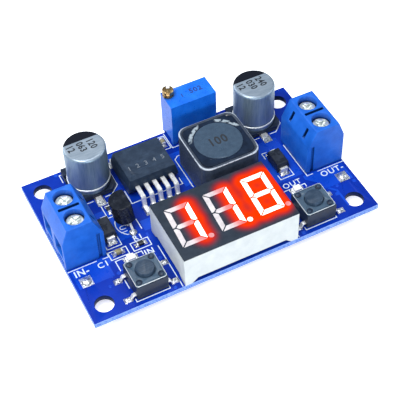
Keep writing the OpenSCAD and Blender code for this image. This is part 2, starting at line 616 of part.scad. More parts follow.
// ---- pads, board and solder ----
module pad(c, w, l) translate([c[0] - w/2, c[1] - l/2, 0]) cube([w, l, pad_t]);
module top_pads() colour_tin() translate([0, 0, tt]) {
  for (c = [probe_in, probe_out]) {
    pad(c, 2.2, 2.2);
    translate([c[0], c[1], pad_t - e]) cylinder(d1 = 1.5, d2 = 0.9, h = 0.35);
  }
  for (c = [can_in, can_out], s = [-1, 1])
    pad([c[0], c[1] + s*(can_base/2 + 0.6 - (s > 0 ? 0.35 : 0))], 1.7, s > 0 ? 1.6 : 3.2);
  pad([reg_c[0], reg_c[1] + 2.1], 10.6, 8);
  for (i = [-2:2]) pad([reg_c[0] + i*reg_pitch, reg_c[1] - 8.2], 1.1, 2.4);
  for (c = [key_in, key_out], x = [-1, 1], y = [-1, 1]) pad([c[0] + x*4.5, c[1] + y*2.25], 1.5, 1.1);
  for (c = [led_in, led_out], s = [-1, 1]) pad([c[0] + s*0.95, c[1]], 0.9, 1.3);
  for (c = [diode_in, diode_out], s = [-1, 1]) pad([c[0], c[1] + s*2.25], 1.9, 1.9);
  for (s = [-1, 1]) pad([coil_c[0], coil_c[1] + s*(coil_side/2 - 0.9)], 5.4, 3);
  for (c = chip_res) chip_pads(c);
  for (c = chip_cap) chip_pads(c);
}
module chip_pads(c) translate([c[0], c[1], 0]) rotate([0, 0, c[2]])
  for (s = [-1, 1]) pad([s*0.85, 0], 0.7, 0.9);
// through-hole pins: place, then size of hole
module round_pin_cuts(h, d) {
  at_input_flat() poles() translate([screw_x, 0, 0]) cylinder(d = block_pin_d + d, h = h);
  at_output_flat() poles() translate([screw_x, 0, 0]) cylinder(d = block_pin_d + d, h = h);
}
module at_input_flat() translate([in_x, block_y, 0]) children();
module at_output_flat() translate([out_x, block_y, 0]) rotate([0, 0, 180]) children();
small_hole = 0.8;
module small_places() {
  trimmer_pin_places() children();
  readout_pin_places() children();
  ref_pin_places() children();
  for (c = [probe_in, probe_out]) translate([c[0], c[1], 0]) children();
}
module circuit_board() colour_board() difference() {
  translate([-board_length/2, -board_width/2, 0]) cube([board_length, board_width, tt]);
  for (x = [-1, 1], y = [-1, 1]) translate([x*mount_spacing_x/2, y*mount_spacing_y/2, -1])
    cylinder(d = mount_hole_d, h = tt + 2);
  translate([0, 0, -1]) round_pin_cuts(tt + 2, 0.3);
  translate([0, 0, -1]) small_places() cylinder(d = small_hole, h = tt + 2);
}
// solder fills each hole round its pin and stands as a cone on the underside
module joint_cone(hole, big, tall) {
  translate([0, 0, -e]) cylinder(d = hole, h = tt + e);
  translate([0, 0, -pad_t]) cylinder(d = big, h = pad_t);
  translate([0, 0, -tall]) cylinder(d1 = 0.45*big, d2 = 0.85*big, h = tall - pad_t + e);
}
module bottom_solder() colour_tin() {
  difference() {
    union() {
      small_places() joint_cone(small_hole, 1.7, 0.9);
      at_input_flat() poles() translate([screw_x, 0, 0]) joint_cone(block_pin_d + 0.3, 2.6, 1.2);
      at_output_flat() poles() translate([screw_x, 0, 0]) joint_cone(block_pin_d + 0.3, 2.6, 1.2);
    }
    translate([0, 0, -2]) round_pin_cuts(tt + 3, 0);
    trimmer_pins();
    readout_pins();
    ref_legs_raw();
  }
  translate([0, 0, -pad_t]) {
    for (c = under_res) chip_pads(c);
    for (c = under_cap) chip_pads(c);
    for (s = [-1, 1], i = [0:mcu_rows - 1])
      pad([mcu_c[0] + (i - (mcu_rows - 1)/2)*mcu_pitch, mcu_c[1] + s*3], 0.34, 1.1);
  }
}

// which piece to show

circuit_board();
top_pads();
bottom_solder();
input_housing();
input_contacts();
input_screw_front();
input_screw_back();
input_plate_front();
input_plate_back();
output_housing();
output_contacts();
output_screw_front();
output_screw_back();
output_plate_front();
output_plate_back();
trimmer_body();
trimmer_adjuster();
trimmer_pins();
inductor_shield();
inductor_core();
inductor_winding();
inductor_resin();
inductor_terminals();
input_capacitor_can();
input_capacitor_base();
input_capacitor_leads();
output_capacitor_can();
output_capacitor_base();
output_capacitor_leads();
regulator_body();
regulator_tab();
regulator_leads();
input_key_base();
input_key_cover();
input_key_button();
input_key_dome();
input_key_leads();
output_key_base();
output_key_cover();
output_key_button();
output_key_dome();
output_key_leads();
readout_housing();
readout_face();
readout_bars_lit();
readout_bars_dark();
readout_potting();
readout_pins();
diode_bodies();
diode_leads();
reference_case();
reference_legs();
lamp_bases();
lamp_lenses();
chip_resistors();
chip_capacitors();
chip_caps();
controller_body();
controller_legs();
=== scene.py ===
import math

import bmesh
import bpy
from mathutils import Matrix, Vector, noise


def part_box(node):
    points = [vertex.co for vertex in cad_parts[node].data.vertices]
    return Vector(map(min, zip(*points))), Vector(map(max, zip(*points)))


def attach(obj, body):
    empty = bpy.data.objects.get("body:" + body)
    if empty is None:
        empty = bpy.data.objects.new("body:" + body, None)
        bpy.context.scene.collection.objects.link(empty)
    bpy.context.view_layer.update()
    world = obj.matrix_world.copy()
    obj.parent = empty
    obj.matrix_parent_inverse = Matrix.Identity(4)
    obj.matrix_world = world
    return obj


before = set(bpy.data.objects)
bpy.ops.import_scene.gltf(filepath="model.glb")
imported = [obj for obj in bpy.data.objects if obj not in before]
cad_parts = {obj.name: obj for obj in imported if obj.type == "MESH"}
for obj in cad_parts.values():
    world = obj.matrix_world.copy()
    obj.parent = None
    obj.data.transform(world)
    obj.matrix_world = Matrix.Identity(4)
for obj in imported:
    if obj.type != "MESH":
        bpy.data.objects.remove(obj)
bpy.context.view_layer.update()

# Lengths in this script are in millimetres until a mesh or an object is made.
MM = 0.001


# ---------------------------------------------------------------- the frame

def span(node):
    """Lowest and highest corner of a CAD node."""
    low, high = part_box(node)
    return low / MM, high / MM


def solids(node):
    """(lowest, highest) corner of each separate solid of a CAD node, from -X to +X."""
    bm = bmesh.new()
    bm.from_mesh(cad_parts[node].data)
    bmesh.ops.remove_doubles(bm, verts=bm.verts, dist=1e-7)
    left, found = set(bm.verts), []
    while left:
        stack, part = [left.pop()], []
        while stack:
            v = stack.pop()
            part.append(v.co / MM)
            for e in v.link_edges:
                other = e.other_vert(v)
                if other in left:
                    left.remove(other)
                    stack.append(other)
        found.append((Vector(map(min, zip(*part))), Vector(map(max, zip(*part)))))
    bm.free()
    return sorted(found, key=lambda box: (round(box[0].x, 2), round(box[0].y, 2)))


def middle(box):
    return (box[0] + box[1]) / 2


BOARD_LOW, BOARD_HIGH = span("circuit_board")
TOP = BOARD_HIGH.z
BOTTOM = BOARD_LOW.z
PAD_TOP = span("top_pads")[0].z + 0.1


# ---------------------------------------------------------------- materials

class Surface:
    """A Principled material whose textures are laid out in millimetres of the object."""

    def __init__(self, name, roughness=0.4, metallic=0.0, **sockets):
        self.material = bpy.data.materials.new(name)
        self.material.use_nodes = True
        self.tree = self.material.node_tree
        self.tree.nodes.clear()
        self.shader = self.node("ShaderNodeBsdfPrincipled")
        out = self.node("ShaderNodeOutputMaterial")
        self.tree.links.new(self.shader.outputs[0], out.inputs["Surface"])
        self.shader.inputs["Roughness"].default_value = roughness
        self.shader.inputs["Metallic"].default_value = metallic
        for key, value in sockets.items():
            self.shader.inputs[key.replace("_", " ")].default_value = value
        place = self.node("ShaderNodeTexCoord").outputs["Object"]
        self.place = self.vector("MULTIPLY", place, (1 / MM, 1 / MM, 1 / MM))
        self.normal = None

    def node(self, kind, inputs=None, **settings):
        made = self.tree.nodes.new(kind)
        for key, value in settings.items():
            setattr(made, key, value)
        for key, value in (inputs or {}).items():
            if isinstance(value, bpy.types.NodeSocket):
                self.tree.links.new(value, made.inputs[key])
            elif value is not None:
                made.inputs[key].default_value = value
        return made

    def math(self, operation, a, b=None, c=None, clamp=False):
        return self.node("ShaderNodeMath", {0: a, 1: b, 2: c}, operation=operation,
                         use_clamp=clamp).outputs[0]

    def vector(self, operation, a, b=None):
        return self.node("ShaderNodeVectorMath", {0: a, 1: b}, operation=operation).outputs[0]

    def parts(self, socket=None):
        """X, Y and Z in millimetres."""
        return self.node("ShaderNodeSeparateXYZ", {0: socket or self.place}).outputs

    def noise(self, scale, detail=3.0, stretch=(1, 1, 1), roughness=0.55):
        """Noise from 0 to 1 with `scale` cells a millimetre."""
        at = self.vector("MULTIPLY", self.place, stretch)
        return self.node("ShaderNodeTexNoise", {"Vector": at, "Scale": scale, "Detail": detail,
                                                "Roughness": roughness}).outputs[0]

    def cells(self, scale):
        return self.node("ShaderNodeTexVoronoi", {"Vector": self.place, "Scale": scale}).outputs[0]

    def ramp(self, value, low, high, to_low=0.0, to_high=1.0):
        return self.node("ShaderNodeMapRange", {"Value": value, "From Min": low, "From Max": high,
                                                "To Min": to_low, "To Max": to_high}).outputs[0]

    def mix(self, share, a, b):
        a, b = (c if isinstance(c, bpy.types.NodeSocket) else (*c, 1) for c in (a, b))
        made = self.node("ShaderNodeMix", {0: share, 6: a, 7: b}, data_type="RGBA")
        return made.outputs[2]

    def crevice(self, reach, darkest):
        """Painted shade: 1 on open faces, `darkest` deep in slots, wells and inner corners."""
        shade = self.node("ShaderNodeAmbientOcclusion", {"Distance": reach * MM}, samples=6)
        return self.ramp(shade.outputs["AO"], 0.35, 0.88, darkest, 1.0)

    def shaded(self, share, colour):
        grey = self.node("ShaderNodeCombineXYZ", {0: share, 1: share, 2: share}).outputs[0]
        return self.node("ShaderNodeMix", {0: 1.0, 6: colour, 7: grey}, data_type="RGBA",
                         blend_type="MULTIPLY").outputs[2]

    def link(self, name, socket):
        self.tree.links.new(socket, self.shader.inputs[name])

    def colour(self, socket):
        self.link("Base Color", socket)

    def rough(self, value, low, high, to_low, to_high):
        self.link("Roughness", self.ramp(value, low, high, to_low, to_high))

    def bump(self, height, depth, strength=1.0):
        """Relief: a height from 0 to 1 stands `depth` millimetres tall."""
        made = self.node("ShaderNodeBump", {"Height": height, "Strength": strength,
                                            "Distance": depth * MM, "Normal": self.normal})
        self.normal = made.outputs[0]
        self.link("Normal", self.normal)


def moulded(name, dark, light, roughness=(0.32, 0.46), grain=9.0, relief=0.012, deep=1.0, **sockets):
    """Moulded plastic: soft clouding, a fine spark-eroded grain, a few faint scuffs, and painted shade in
    slots and corners when `deep` is below 1.
    """
    s = Surface(name, **sockets)
    cloud = s.ramp(s.noise(0.45, 4.0), 0.32, 0.68)
    fine = s.noise(grain, 2.0)
    scuff = s.ramp(s.noise(2.2, 5.0, (0.35, 1.0, 1.0)), 0.63, 0.78)
    scuffs = s.math("MULTIPLY", scuff, 0.22)
    base = s.mix(scuffs, s.mix(cloud, dark, light), [c * 1.35 for c in light])
    # painted shade: occlusion darkens the colour in slots, wells and inner corners
    s.colour(s.shaded(s.crevice(1.1, deep), base) if deep < 1 else base)
    s.rough(s.noise(3.0, 3.0), 0.3, 0.7, *roughness)
    s.bump(fine, relief, 0.5)
    s.bump(cloud, 0.03, 0.25)
    return s.material


def metal(name, dark, light, roughness=(0.22, 0.42), along=(1, 1, 0.06), grain=7.0, relief=0.006,
          metallic=1.0):
    """Rolled or turned metal: streaks along one direction, cloudy tarnish and small dents."""
    s = Surface(name, metallic=metallic)
    streak = s.noise(grain, 4.0, along, 0.65)
    cloud = s.ramp(s.noise(0.9, 3.0), 0.3, 0.7)
    tone = s.math("ADD", s.math("MULTIPLY", streak, 0.55), s.math("MULTIPLY", cloud, 0.45))
    s.colour(s.mix(s.ramp(tone, 0.3, 0.7), dark, light))
    s.rough(streak, 0.3, 0.7, *roughness)
    s.bump(streak, relief, 0.6)
    s.bump(s.noise(1.6, 2.0), 0.02, 0.4)
    return s.material


def solder(name, masked=None):
    """Reflowed tin: bright, gently crinkled, with duller flecks; under the mask in one box."""
    s = Surface(name, metallic=0.9)
    crinkle = s.noise(3.2, 4.0, roughness=0.6)
    fleck = s.ramp(s.cells(4.0), 0.1, 0.45)
    tin = s.mix(s.ramp(crinkle, 0.34, 0.62), (0.26, 0.29, 0.33), (0.97, 0.97, 0.95))
    if masked is not None:
        inside = 1.0
        for place, low, high in zip(s.parts(), masked[0], masked[1]):
            inside = s.math("MULTIPLY", inside, s.math("GREATER_THAN", place, low))
            inside = s.math("MULTIPLY", inside, s.math("LESS_THAN", place, high))
        tin = s.mix(inside, tin, MASK_DARK)
        s.link("Metallic", s.ramp(inside, 0.0, 1.0, 0.9, 0.0))
        s.link("Specular IOR Level", s.ramp(inside, 0.0, 1.0, 0.5, 0.12))
    s.colour(tin)
    s.rough(fleck, 0.0, 1.0, 0.12, 0.32)
    s.bump(crinkle, 0.14, 0.7)
    return s.material


def solder_mask(name, dark, light):
    """Blue mask over the glass weave, with the cut fibre edge left pale all round the board."""
    s = Surface(name, Specular_IOR_Level=0.11, Coat_Weight=0.04, Coat_Roughness=0.25)
    x, y, z = s.parts()
    weave = s.math("MULTIPLY", s.math("SINE", s.math("MULTIPLY", x, 9.0)),
                   s.math("SINE", s.math("MULTIPLY", y, 9.0)))
    cloud = s.ramp(s.noise(0.16, 4.0), 0.3, 0.7)
    speck = s.ramp(s.noise(5.0, 2.0), 0.62, 0.75)
    mask = s.mix(cloud, dark, light)
    mask = s.mix(s.math("MULTIPLY", speck, 0.10), mask, [c * 1.5 for c in light])
    # painted shade: the drilled walls are darkened inside, for the shadow in the holes
    upright = s.math("ABSOLUTE", s.parts(s.node("ShaderNodeNewGeometry").outputs["True Normal"])[2])
    wall = s.math("LESS_THAN", upright, 0.5)
    mask = s.mix(wall, mask, (0.002, 0.012, 0.075))
    # the cut edge: pale resin and glass, with darker streaks of fibre along it
    beyond = s.math("MAXIMUM",
                    s.math("SUBTRACT", s.math("ABSOLUTE", x), BOARD_HIGH.x - 0.02),
                    s.math("SUBTRACT", s.math("ABSOLUTE", y), BOARD_HIGH.y - 0.02))
    cut = s.math("GREATER_THAN", beyond, 0.0)
    fibre = s.noise(1.5, 4.0, (1.0, 1.0, 9.0), 0.7)
    dash = s.ramp(s.noise(3.4, 1.0, (1.0, 1.0, 0.4)), 0.47, 0.56)
    band = s.math("MULTIPLY", dash, s.ramp(s.math("ABSOLUTE", s.math("SUBTRACT", z, 0.62)), 0.25, 0.12))
    edge = s.mix(s.ramp(fibre, 0.35, 0.65), (0.08, 0.20, 0.62), (0.30, 0.44, 0.84))
    edge = s.mix(s.math("MULTIPLY", band, 0.75), edge, (0.02, 0.10, 0.50))
    s.colour(s.mix(cut, mask, edge))
    s.rough(s.noise(1.2, 3.0), 0.3, 0.7, 0.30, 0.46)
    s.bump(weave, 0.004, 0.5)
    s.bump(s.noise(1.4, 3.0), 0.02, 0.4)
    s.bump(s.math("MULTIPLY", fibre, cut), 0.05, 0.6)
    return s.material


MASK_DARK, MASK_LIGHT = (0.001, 0.020, 0.285), (0.002, 0.036, 0.410)
GLOW_CORE, GLOW_EDGE = (1.08, 0.048, 0.0), (0.85, 0.006, 0.0)
GLOW_POWER, GLOW_GAIN = 2.1, 2.2
LIT = [(middle(b), (b[1] - b[0]) / 2) for b in solids("readout_bars_lit")]


def glow(s, reach=1.12):
    """How strongly the lit bars shine through the face here, from 0 to 1."""
    flat = s.vector("MULTIPLY", s.place, (1, 1, 0))
    total = None
    for centre, half in LIT:
        core = min(half.x, half.y)
        length = (max(half.x - core, 0), max(half.y - core, 0), 0)
        off = s.vector("ABSOLUTE", s.vector("SUBTRACT", flat, (centre.x, centre.y, 0)))
        off = s.vector("MAXIMUM", s.vector("SUBTRACT", off, length), (0, 0, 0))
        far = s.node("ShaderNodeVectorMath", {0: off}, operation="LENGTH").outputs["Value"]
        gap = s.math("MAXIMUM", s.math("SUBTRACT", far, core), 0.0)
        fall = s.math("MULTIPLY", s.math("POWER", gap, GLOW_POWER), -1.0 / reach ** GLOW_POWER)
        shine = s.math("EXPONENT", fall)
        total = shine if total is None else s.math("ADD", total, shine)
    return s.math("SUBTRACT", 1.0, s.math("EXPONENT", s.math("MULTIPLY", total, -GLOW_GAIN)))


def lit_through(name, dark, light, share=1.0, **sockets):
    """Plastic of the readout's front with the light of the lit bars in it."""
    s = Surface(name, **sockets)
    shine = s.math("MULTIPLY", glow(s), share)
    speck = s.noise(7.0, 3.0)
    base = s.mix(s.ramp(s.noise(0.7, 4.0), 0.3, 0.7), dark, light)
    s.colour(s.mix(shine, base, (0.04, 0.0, 0.0)))
    s.link("Specular IOR Level", s.ramp(shine, 0.0, 0.6, 0.18, 0.0))
    s.link("Emission Color", s.mix(s.ramp(shine, 0.25, 0.95), GLOW_EDGE, GLOW_CORE))
    s.link("Emission Strength", s.math("MULTIPLY", shine, s.ramp(speck, 0.3, 0.7, 0.96, 1.04)))
    s.rough(s.noise(2.0, 3.0), 0.3, 0.7, 0.30, 0.44)
    s.bump(speck, 0.01, 0.4)
    return s.material


def lit_bar(name):
    """White-hot bar, a little redder in random patches."""
    s = Surface(name, roughness=0.3)
    uneven = s.ramp(s.noise(0.8, 2.0), 0.3, 0.7)
    s.colour(s.mix(uneven, (0.9, 0.7, 0.6), (1.0, 0.9, 0.85)))
    s.link("Emission Color", s.mix(uneven, (1.0, 0.42, 0.34), (1.0, 0.50, 0.42)))
    s.shader.inputs["Emission Strength"].default_value = 2.3
    return s.material


def can_metal(name, cap):
    """Drawn aluminium can: upright streaks, a side darker and bluer than the lid (painted shade), a dark
    band of painted shade at the foot groove, and a printed black segment on its top.
    """
    s = Surface(name, metallic=1.0)
    centre, radius, top = middle(cap), (cap[1].x - cap[0].x) / 2, cap[1].z
    x, y, z = s.parts()
    up = s.noise(5.0, 5.0, (1.0, 1.0, 0.05), 0.7)
    across = s.noise(3.5, 5.0, (0.12, 1.0, 1.0), 0.7)
    on_top = s.ramp(z, top - 0.25, top - 0.05)
    streak = s.node("ShaderNodeMix", {0: on_top, 2: up, 3: across}).outputs[0]
    # painted shade: the side is given a darker, bluer colour than the lid of the same aluminium
    side = s.mix(s.ramp(streak, 0.28, 0.72), (0.14, 0.22, 0.31), (0.29, 0.39, 0.48))
    lid = s.mix(s.ramp(streak, 0.3, 0.7), (0.25, 0.32, 0.40), (0.38, 0.45, 0.53))
    tin = s.mix(on_top, side, lid)
    # painted shade: a dark band round the can at the foot groove
    painted_groove_shade = s.ramp(s.math("ABSOLUTE", s.math("SUBTRACT", z, cap[0].z + 1.35)), 0.22, 0.05)
    tin = s.mix(s.math("MULTIPLY", painted_groove_shade, 0.7), tin, (0.05, 0.08, 0.12))
    segment = s.math("GREATER_THAN", s.math("SUBTRACT", y, centre.y), radius * 0.39)
    printed = s.math("MULTIPLY", segment, s.math("GREATER_THAN", z, top - 0.45))
    s.colour(s.mix(printed, tin, (0.006, 0.008, 0.015)))
    s.link("Metallic", s.math("MULTIPLY", s.math("SUBTRACT", 1.0, printed), 0.62))
    s.link("Specular IOR Level", s.ramp(printed, 0.0, 1.0, 0.5, 0.10))
    s.link("Roughness", s.node("ShaderNodeMix", {0: printed, 2: s.ramp(streak, 0.3, 0.7, 0.30, 0.46),
                                                 3: 0.5}).outputs[0])
    s.bump(streak, 0.006, 0.5)
    s.bump(s.noise(0.5, 2.0), 0.05, 0.3)
    return s.material


def ferrite(name, dark, light, rim=None):
    """Pressed ferrite: grain, pits, and a pale line round the top of the box `rim` that is a painted
    highlight on the outer edge.
    """
    s = Surface(name, Specular_IOR_Level=0.32)
    pit = s.ramp(s.cells(3.0), 0.05, 0.3)
    base = s.mix(s.ramp(s.noise(1.2, 5.0), 0.3, 0.7), dark, light)
    base = s.mix(s.ramp(s.noise(6.0, 2.0), 0.60, 0.72), base, [c * 1.5 for c in light])
    if rim is not None:
        # painted highlight: a pale line on the outer wall just under the rim, where the edge catches the
        # light
        (x, y, z), c = s.parts(), middle(rim)
        powers = [s.math("POWER", s.math("ABSOLUTE", s.math("SUBTRACT", v, o)), 6.0)
                  for v, o in ((x, c.x), (y, c.y))]
        out = s.math("POWER", s.math("ADD", *powers), 1 / 6)
        wall = s.ramp(out, rim[1].x - c.x - 0.16, rim[1].x - c.x - 0.08)
        level = s.math("ABSOLUTE", s.math("SUBTRACT", z, rim[1].z - 0.10))
        painted_rim_highlight = s.math("MULTIPLY", s.ramp(level, 0.16, 0.08), s.ramp(s.noise(2.0, 4.0), 0.25, 0.45))
        base = s.mix(s.math("MULTIPLY", s.math("MULTIPLY", painted_rim_highlight, wall), 0.9), base, (0.50, 0.56, 0.64))
    s.colour(base)
    s.rough(s.noise(2.0, 3.0), 0.3, 0.7, 0.30, 0.50)
    s.bump(pit, 0.015, 0.5)
    s.bump(s.noise(4.0, 4.0), 0.02, 0.5)
    return s.material


def resin(name, core):
    """Poured black epoxy: glossy, with slow waves, pinholes and pale painted glints (painted reflections)
    behind the core.
    """
    s = Surface(name, roughness=0.07, Specular_IOR_Level=0.42)
    dark = s.mix(s.ramp(s.noise(0.8, 3.0), 0.3, 0.7), (0.003, 0.008, 0.022), (0.008, 0.018, 0.042))
    centre, radius = middle(core), (core[1].x - core[0].x) / 2
    across, along = (s.math("SUBTRACT", s.parts()[k], centre[k]) for k in (0, 1))
    out = s.math("SQRT", s.math("ADD", s.math("POWER", s.math("ABSOLUTE", across), 2.0),
                                s.math("POWER", s.math("ABSOLUTE", along), 2.0)))
    # painted reflection: pale glints in a ring round the core, at its back corners
    glint_ring = s.ramp(s.math("ABSOLUTE", s.math("SUBTRACT", out, radius + 0.62)), 0.42, 0.25)
    corner = s.ramp(s.math("MULTIPLY", s.math("ABSOLUTE", across), along),
                    0.36 * radius ** 2, 0.46 * radius ** 2)
    painted_glint = s.math("MULTIPLY", s.math("MULTIPLY", glint_ring, corner), s.ramp(s.noise(1.3, 3.0), 0.38, 0.5))
    s.colour(s.mix(s.math("MULTIPLY", painted_glint, 0.75), dark, (0.42, 0.50, 0.56)))
    s.rough(s.noise(1.5, 2.0), 0.3, 0.7, 0.05, 0.16)
    s.bump(s.noise(0.55, 2.0), 0.10, 0.6)
    s.bump(s.ramp(s.cells(1.3), 0.02, 0.08), 0.02, 0.4)
    return s.material


def ink(name, colour, dark_share=0.75):
    """Printed ink with slightly uneven cover."""
    s = Surface(name, roughness=0.5)
    cover = s.ramp(s.noise(3.0, 3.0), 0.25, 0.6)
    s.colour(s.mix(cover, [c * dark_share for c in colour], colour))
    s.bump(s.noise(8.0, 2.0), 0.01, 0.4)
    return s.material


def black_case(name, dark, light, roughness=(0.34, 0.52), scratch=0.3):
    """Black moulding compound with glass flecks and dull rubbed patches."""
    s = Surface(name, Specular_IOR_Level=0.28)
    fleck = s.ramp(s.noise(11.0, 2.0), 0.64, 0.74)
    rub = s.ramp(s.noise(0.8, 5.0), 0.42, 0.70)
    scrape = s.ramp(s.noise(1.4, 3.0, (0.15, 3.0, 1.0)), 0.62, 0.70)
    marks = s.math("MULTIPLY", s.math("MAXIMUM", fleck, scrape), scratch)
    s.colour(s.mix(marks, s.mix(rub, dark, light), [c * 2.2 for c in light]))
    s.rough(rub, 0.0, 1.0, *roughness)
    s.bump(s.noise(9.0, 3.0), 0.02, 0.5)
    return s.material


def pour_material(name):
    """Mask over copper: a lighter, slightly smoother blue than over bare laminate."""
    s = Surface(name, Specular_IOR_Level=0.18, Coat_Weight=0.06, Coat_Roughness=0.2)
    cloud = s.ramp(s.noise(0.22, 4.0), 0.3, 0.7)
    s.colour(s.mix(cloud, (0.002, 0.042, 0.44), (0.006, 0.070, 0.57)))
    s.rough(s.noise(1.0, 3.0), 0.3, 0.7, 0.24, 0.38)
    s.bump(s.noise(2.4, 3.0), 0.02, 0.4)
    return s.material


# the regulator's large pad is under the mask, except behind the body
TAB_PAD = max(solids("top_pads"), key=lambda b: b[1].x - b[0].x)
TAB_PAD_MASKED = (TAB_PAD[0] - Vector((0.1, 0.1, 0.1)),
                  Vector((TAB_PAD[1].x + 0.1, span("regulator_body")[1].y + 0.1, TAB_PAD[1].z + 0.1)))
ENAMEL = {
    "mask": solder_mask("solder_mask", MASK_DARK, MASK_LIGHT),
    "tin": solder("bright_solder"),
    "pads": solder("tinned_pads", TAB_PAD_MASKED),
    # painted shade in the slots and corners of the two housings below, through `deep`
    "azure": moulded("azure_housing", (0.007, 0.096, 0.50), (0.015, 0.135, 0.62), grain=7.0, deep=0.15,
                     Specular_IOR_Level=0.24),
    "trimmer": moulded("trimmer_blue", (0.004, 0.118, 0.64), (0.010, 0.168, 0.79), (0.25, 0.38), deep=0.5,
                       Specular_IOR_Level=0.35),
    "contact": metal("contact_brass", (0.50, 0.38, 0.17), (0.80, 0.66, 0.36)),
    "adjuster": metal("adjuster_brass", (0.20, 0.12, 0.05), (0.55, 0.38, 0.17), (0.25, 0.45)),
    "screw": metal("plated_screw", (0.52, 0.58, 0.57), (0.90, 0.94, 0.91), (0.28, 0.44), (1, 1, 1), 1.6,
                   0.012, metallic=0.75),
    # painted highlight: a metal lighter than the cans, for the can beads and the key edges
    "bright": metal("bright_aluminium", (0.62, 0.67, 0.70), (0.78, 0.82, 0.84), (0.3, 0.42), relief=0.001,
                    metallic=0.45),
    "clamp": metal("clamp_steel", (0.45, 0.46, 0.47), (0.78, 0.78, 0.78)),
    "lead": metal("tinned_lead", (0.66, 0.68, 0.70), (0.97, 0.97, 0.97), (0.24, 0.42), (1, 0.12, 1), 6.0,
                  metallic=0.55),
    "shell": ferrite("ferrite_shell", (0.020, 0.030, 0.052), (0.040, 0.054, 0.082),
                     span("inductor_shield")),
    "disc": ferrite("ferrite_disc", (0.026, 0.050, 0.086), (0.040, 0.072, 0.116)),
    "copper": metal("winding_copper", (0.35, 0.12, 0.05), (0.75, 0.36, 0.18), along=(0.2, 0.2, 4)),
    "resin": resin("black_resin", span("inductor_core")),
    "base": black_case("black_base", (0.009, 0.016, 0.036), (0.018, 0.030, 0.058)),
    "regulator": black_case("regulator_case", (0.012, 0.025, 0.050), (0.022, 0.041, 0.075),
                            (0.40, 0.55), 0.4),
    "diode": black_case("diode_case", (0.012, 0.016, 0.026), (0.026, 0.034, 0.050), (0.22, 0.42)),
    "half_round": black_case("reference_case", (0.006, 0.008, 0.014), (0.014, 0.018, 0.028),
                             (0.16, 0.30), 0.15),
    "cover": moulded("key_cover_paint", (0.040, 0.076, 0.126), (0.058, 0.104, 0.160), (0.28, 0.42)),
    "button": black_case("key_button", (0.022, 0.042, 0.074), (0.038, 0.064, 0.105), (0.30, 0.46)),
    # painted shade in the slots and corners of the readout housing, through `deep`
    "white": moulded("white_housing", (0.56, 0.60, 0.605), (0.655, 0.69, 0.685), (0.34, 0.46), deep=0.6),
    "face": lit_through("dark_face", (0.012, 0.020, 0.034), (0.021, 0.032, 0.050)),
    "unlit": lit_through("unlit_bars", (0.48, 0.44, 0.46), (0.70, 0.66, 0.68), 0.7),
    "lit": lit_bar("lit_bars"),
    "potting": moulded("potting_resin", (0.62, 0.60, 0.52), (0.78, 0.76, 0.68), (0.12, 0.25)),
    "lamp": moulded("lamp_white", (0.82, 0.84, 0.86), (0.95, 0.95, 0.95), (0.18, 0.3)),
    "chip": black_case("chip_black", (0.012, 0.014, 0.018), (0.03, 0.034, 0.04), (0.2, 0.35)),
    "tan": ferrite("chip_tan", (0.19, 0.165, 0.085), (0.30, 0.27, 0.15)),
    "silk": ink("white_silkscreen", (0.72, 0.82, 0.88), 0.80),
    "black_ink": ink("black_ink", (0.010, 0.014, 0.022), 0.6),
    "grey_ink": ink("grey_ink", (0.16, 0.19, 0.23), 0.7),
    "blue_ink": ink("dark_blue_ink", (0.006, 0.030, 0.20), 0.7),
    "pour": pour_material("mask_over_copper"),
}


# ---------------------------------------------------------------- CAD nodes

# node: material, edge rounding in millimetres
FINISH = {
    "circuit_board": ("mask", 0.05), "top_pads": ("pads", 0.03), "bottom_solder": ("tin", 0.05),
    "trimmer_body": ("trimmer", 0.14), "trimmer_adjuster": ("adjuster", 0.05),
    "trimmer_pins": ("lead", 0.04), "inductor_shield": ("shell", 0.22), "inductor_core": ("disc", 0.08),
    "inductor_winding": ("copper", 0.05), "inductor_terminals": ("lead", 0.04),
    "regulator_body": ("regulator", 0.12), "regulator_tab": ("lead", 0.06),
    "regulator_leads": ("lead", 0.07), "readout_housing": ("white", 0.10),
    "readout_face": ("face", 0.03), "readout_bars_lit": ("lit", 0.02),
    "readout_bars_dark": ("unlit", 0.02), "readout_potting": ("potting", 0.05),
    "readout_pins": ("lead", 0.04), "diode_bodies": ("diode", 0.08), "diode_leads": ("lead", 0.05),
    "reference_case": ("half_round", 0.12), "reference_legs": ("lead", 0.06),
    "lamp_bases": ("lamp", 0.03), "lamp_lenses": ("lamp", 0.08), "chip_resistors": ("chip", 0.03),
    "chip_capacitors": ("tan", 0.04), "chip_caps": ("tin", 0.05), "controller_body": ("diode", 0.08),
    "controller_legs": ("lead", 0.03),
}
for end in ("input", "output"):
    FINISH[f"{end}_housing"] = ("azure", 0.12)
    FINISH[f"{end}_contacts"] = ("contact", 0.05)
    FINISH[f"{end}_capacitor_base"] = ("base", 0.08)
    FINISH[f"{end}_capacitor_leads"] = ("lead", 0.04)
    FINISH[f"{end}_key_base"] = ("base", 0.06)
    FINISH[f"{end}_key_cover"] = ("cover", 0.05)
    FINISH[f"{end}_key_button"] = ("button", 0.12)
    FINISH[f"{end}_key_dome"] = ("clamp", 0.02)
    FINISH[f"{end}_key_leads"] = ("lead", 0.04)
    for side in ("front", "back"):
        FINISH[f"{end}_screw_{side}"] = ("screw", 0.08)
        FINISH[f"{end}_plate_{side}"] = ("clamp", 0.04)
    ENAMEL[f"{end}_can"] = can_metal(f"{end}_can_aluminium", span(f"{end}_capacitor_can"))
    FINISH[f"{end}_capacitor_can"] = (f"{end}_can", 0.05)


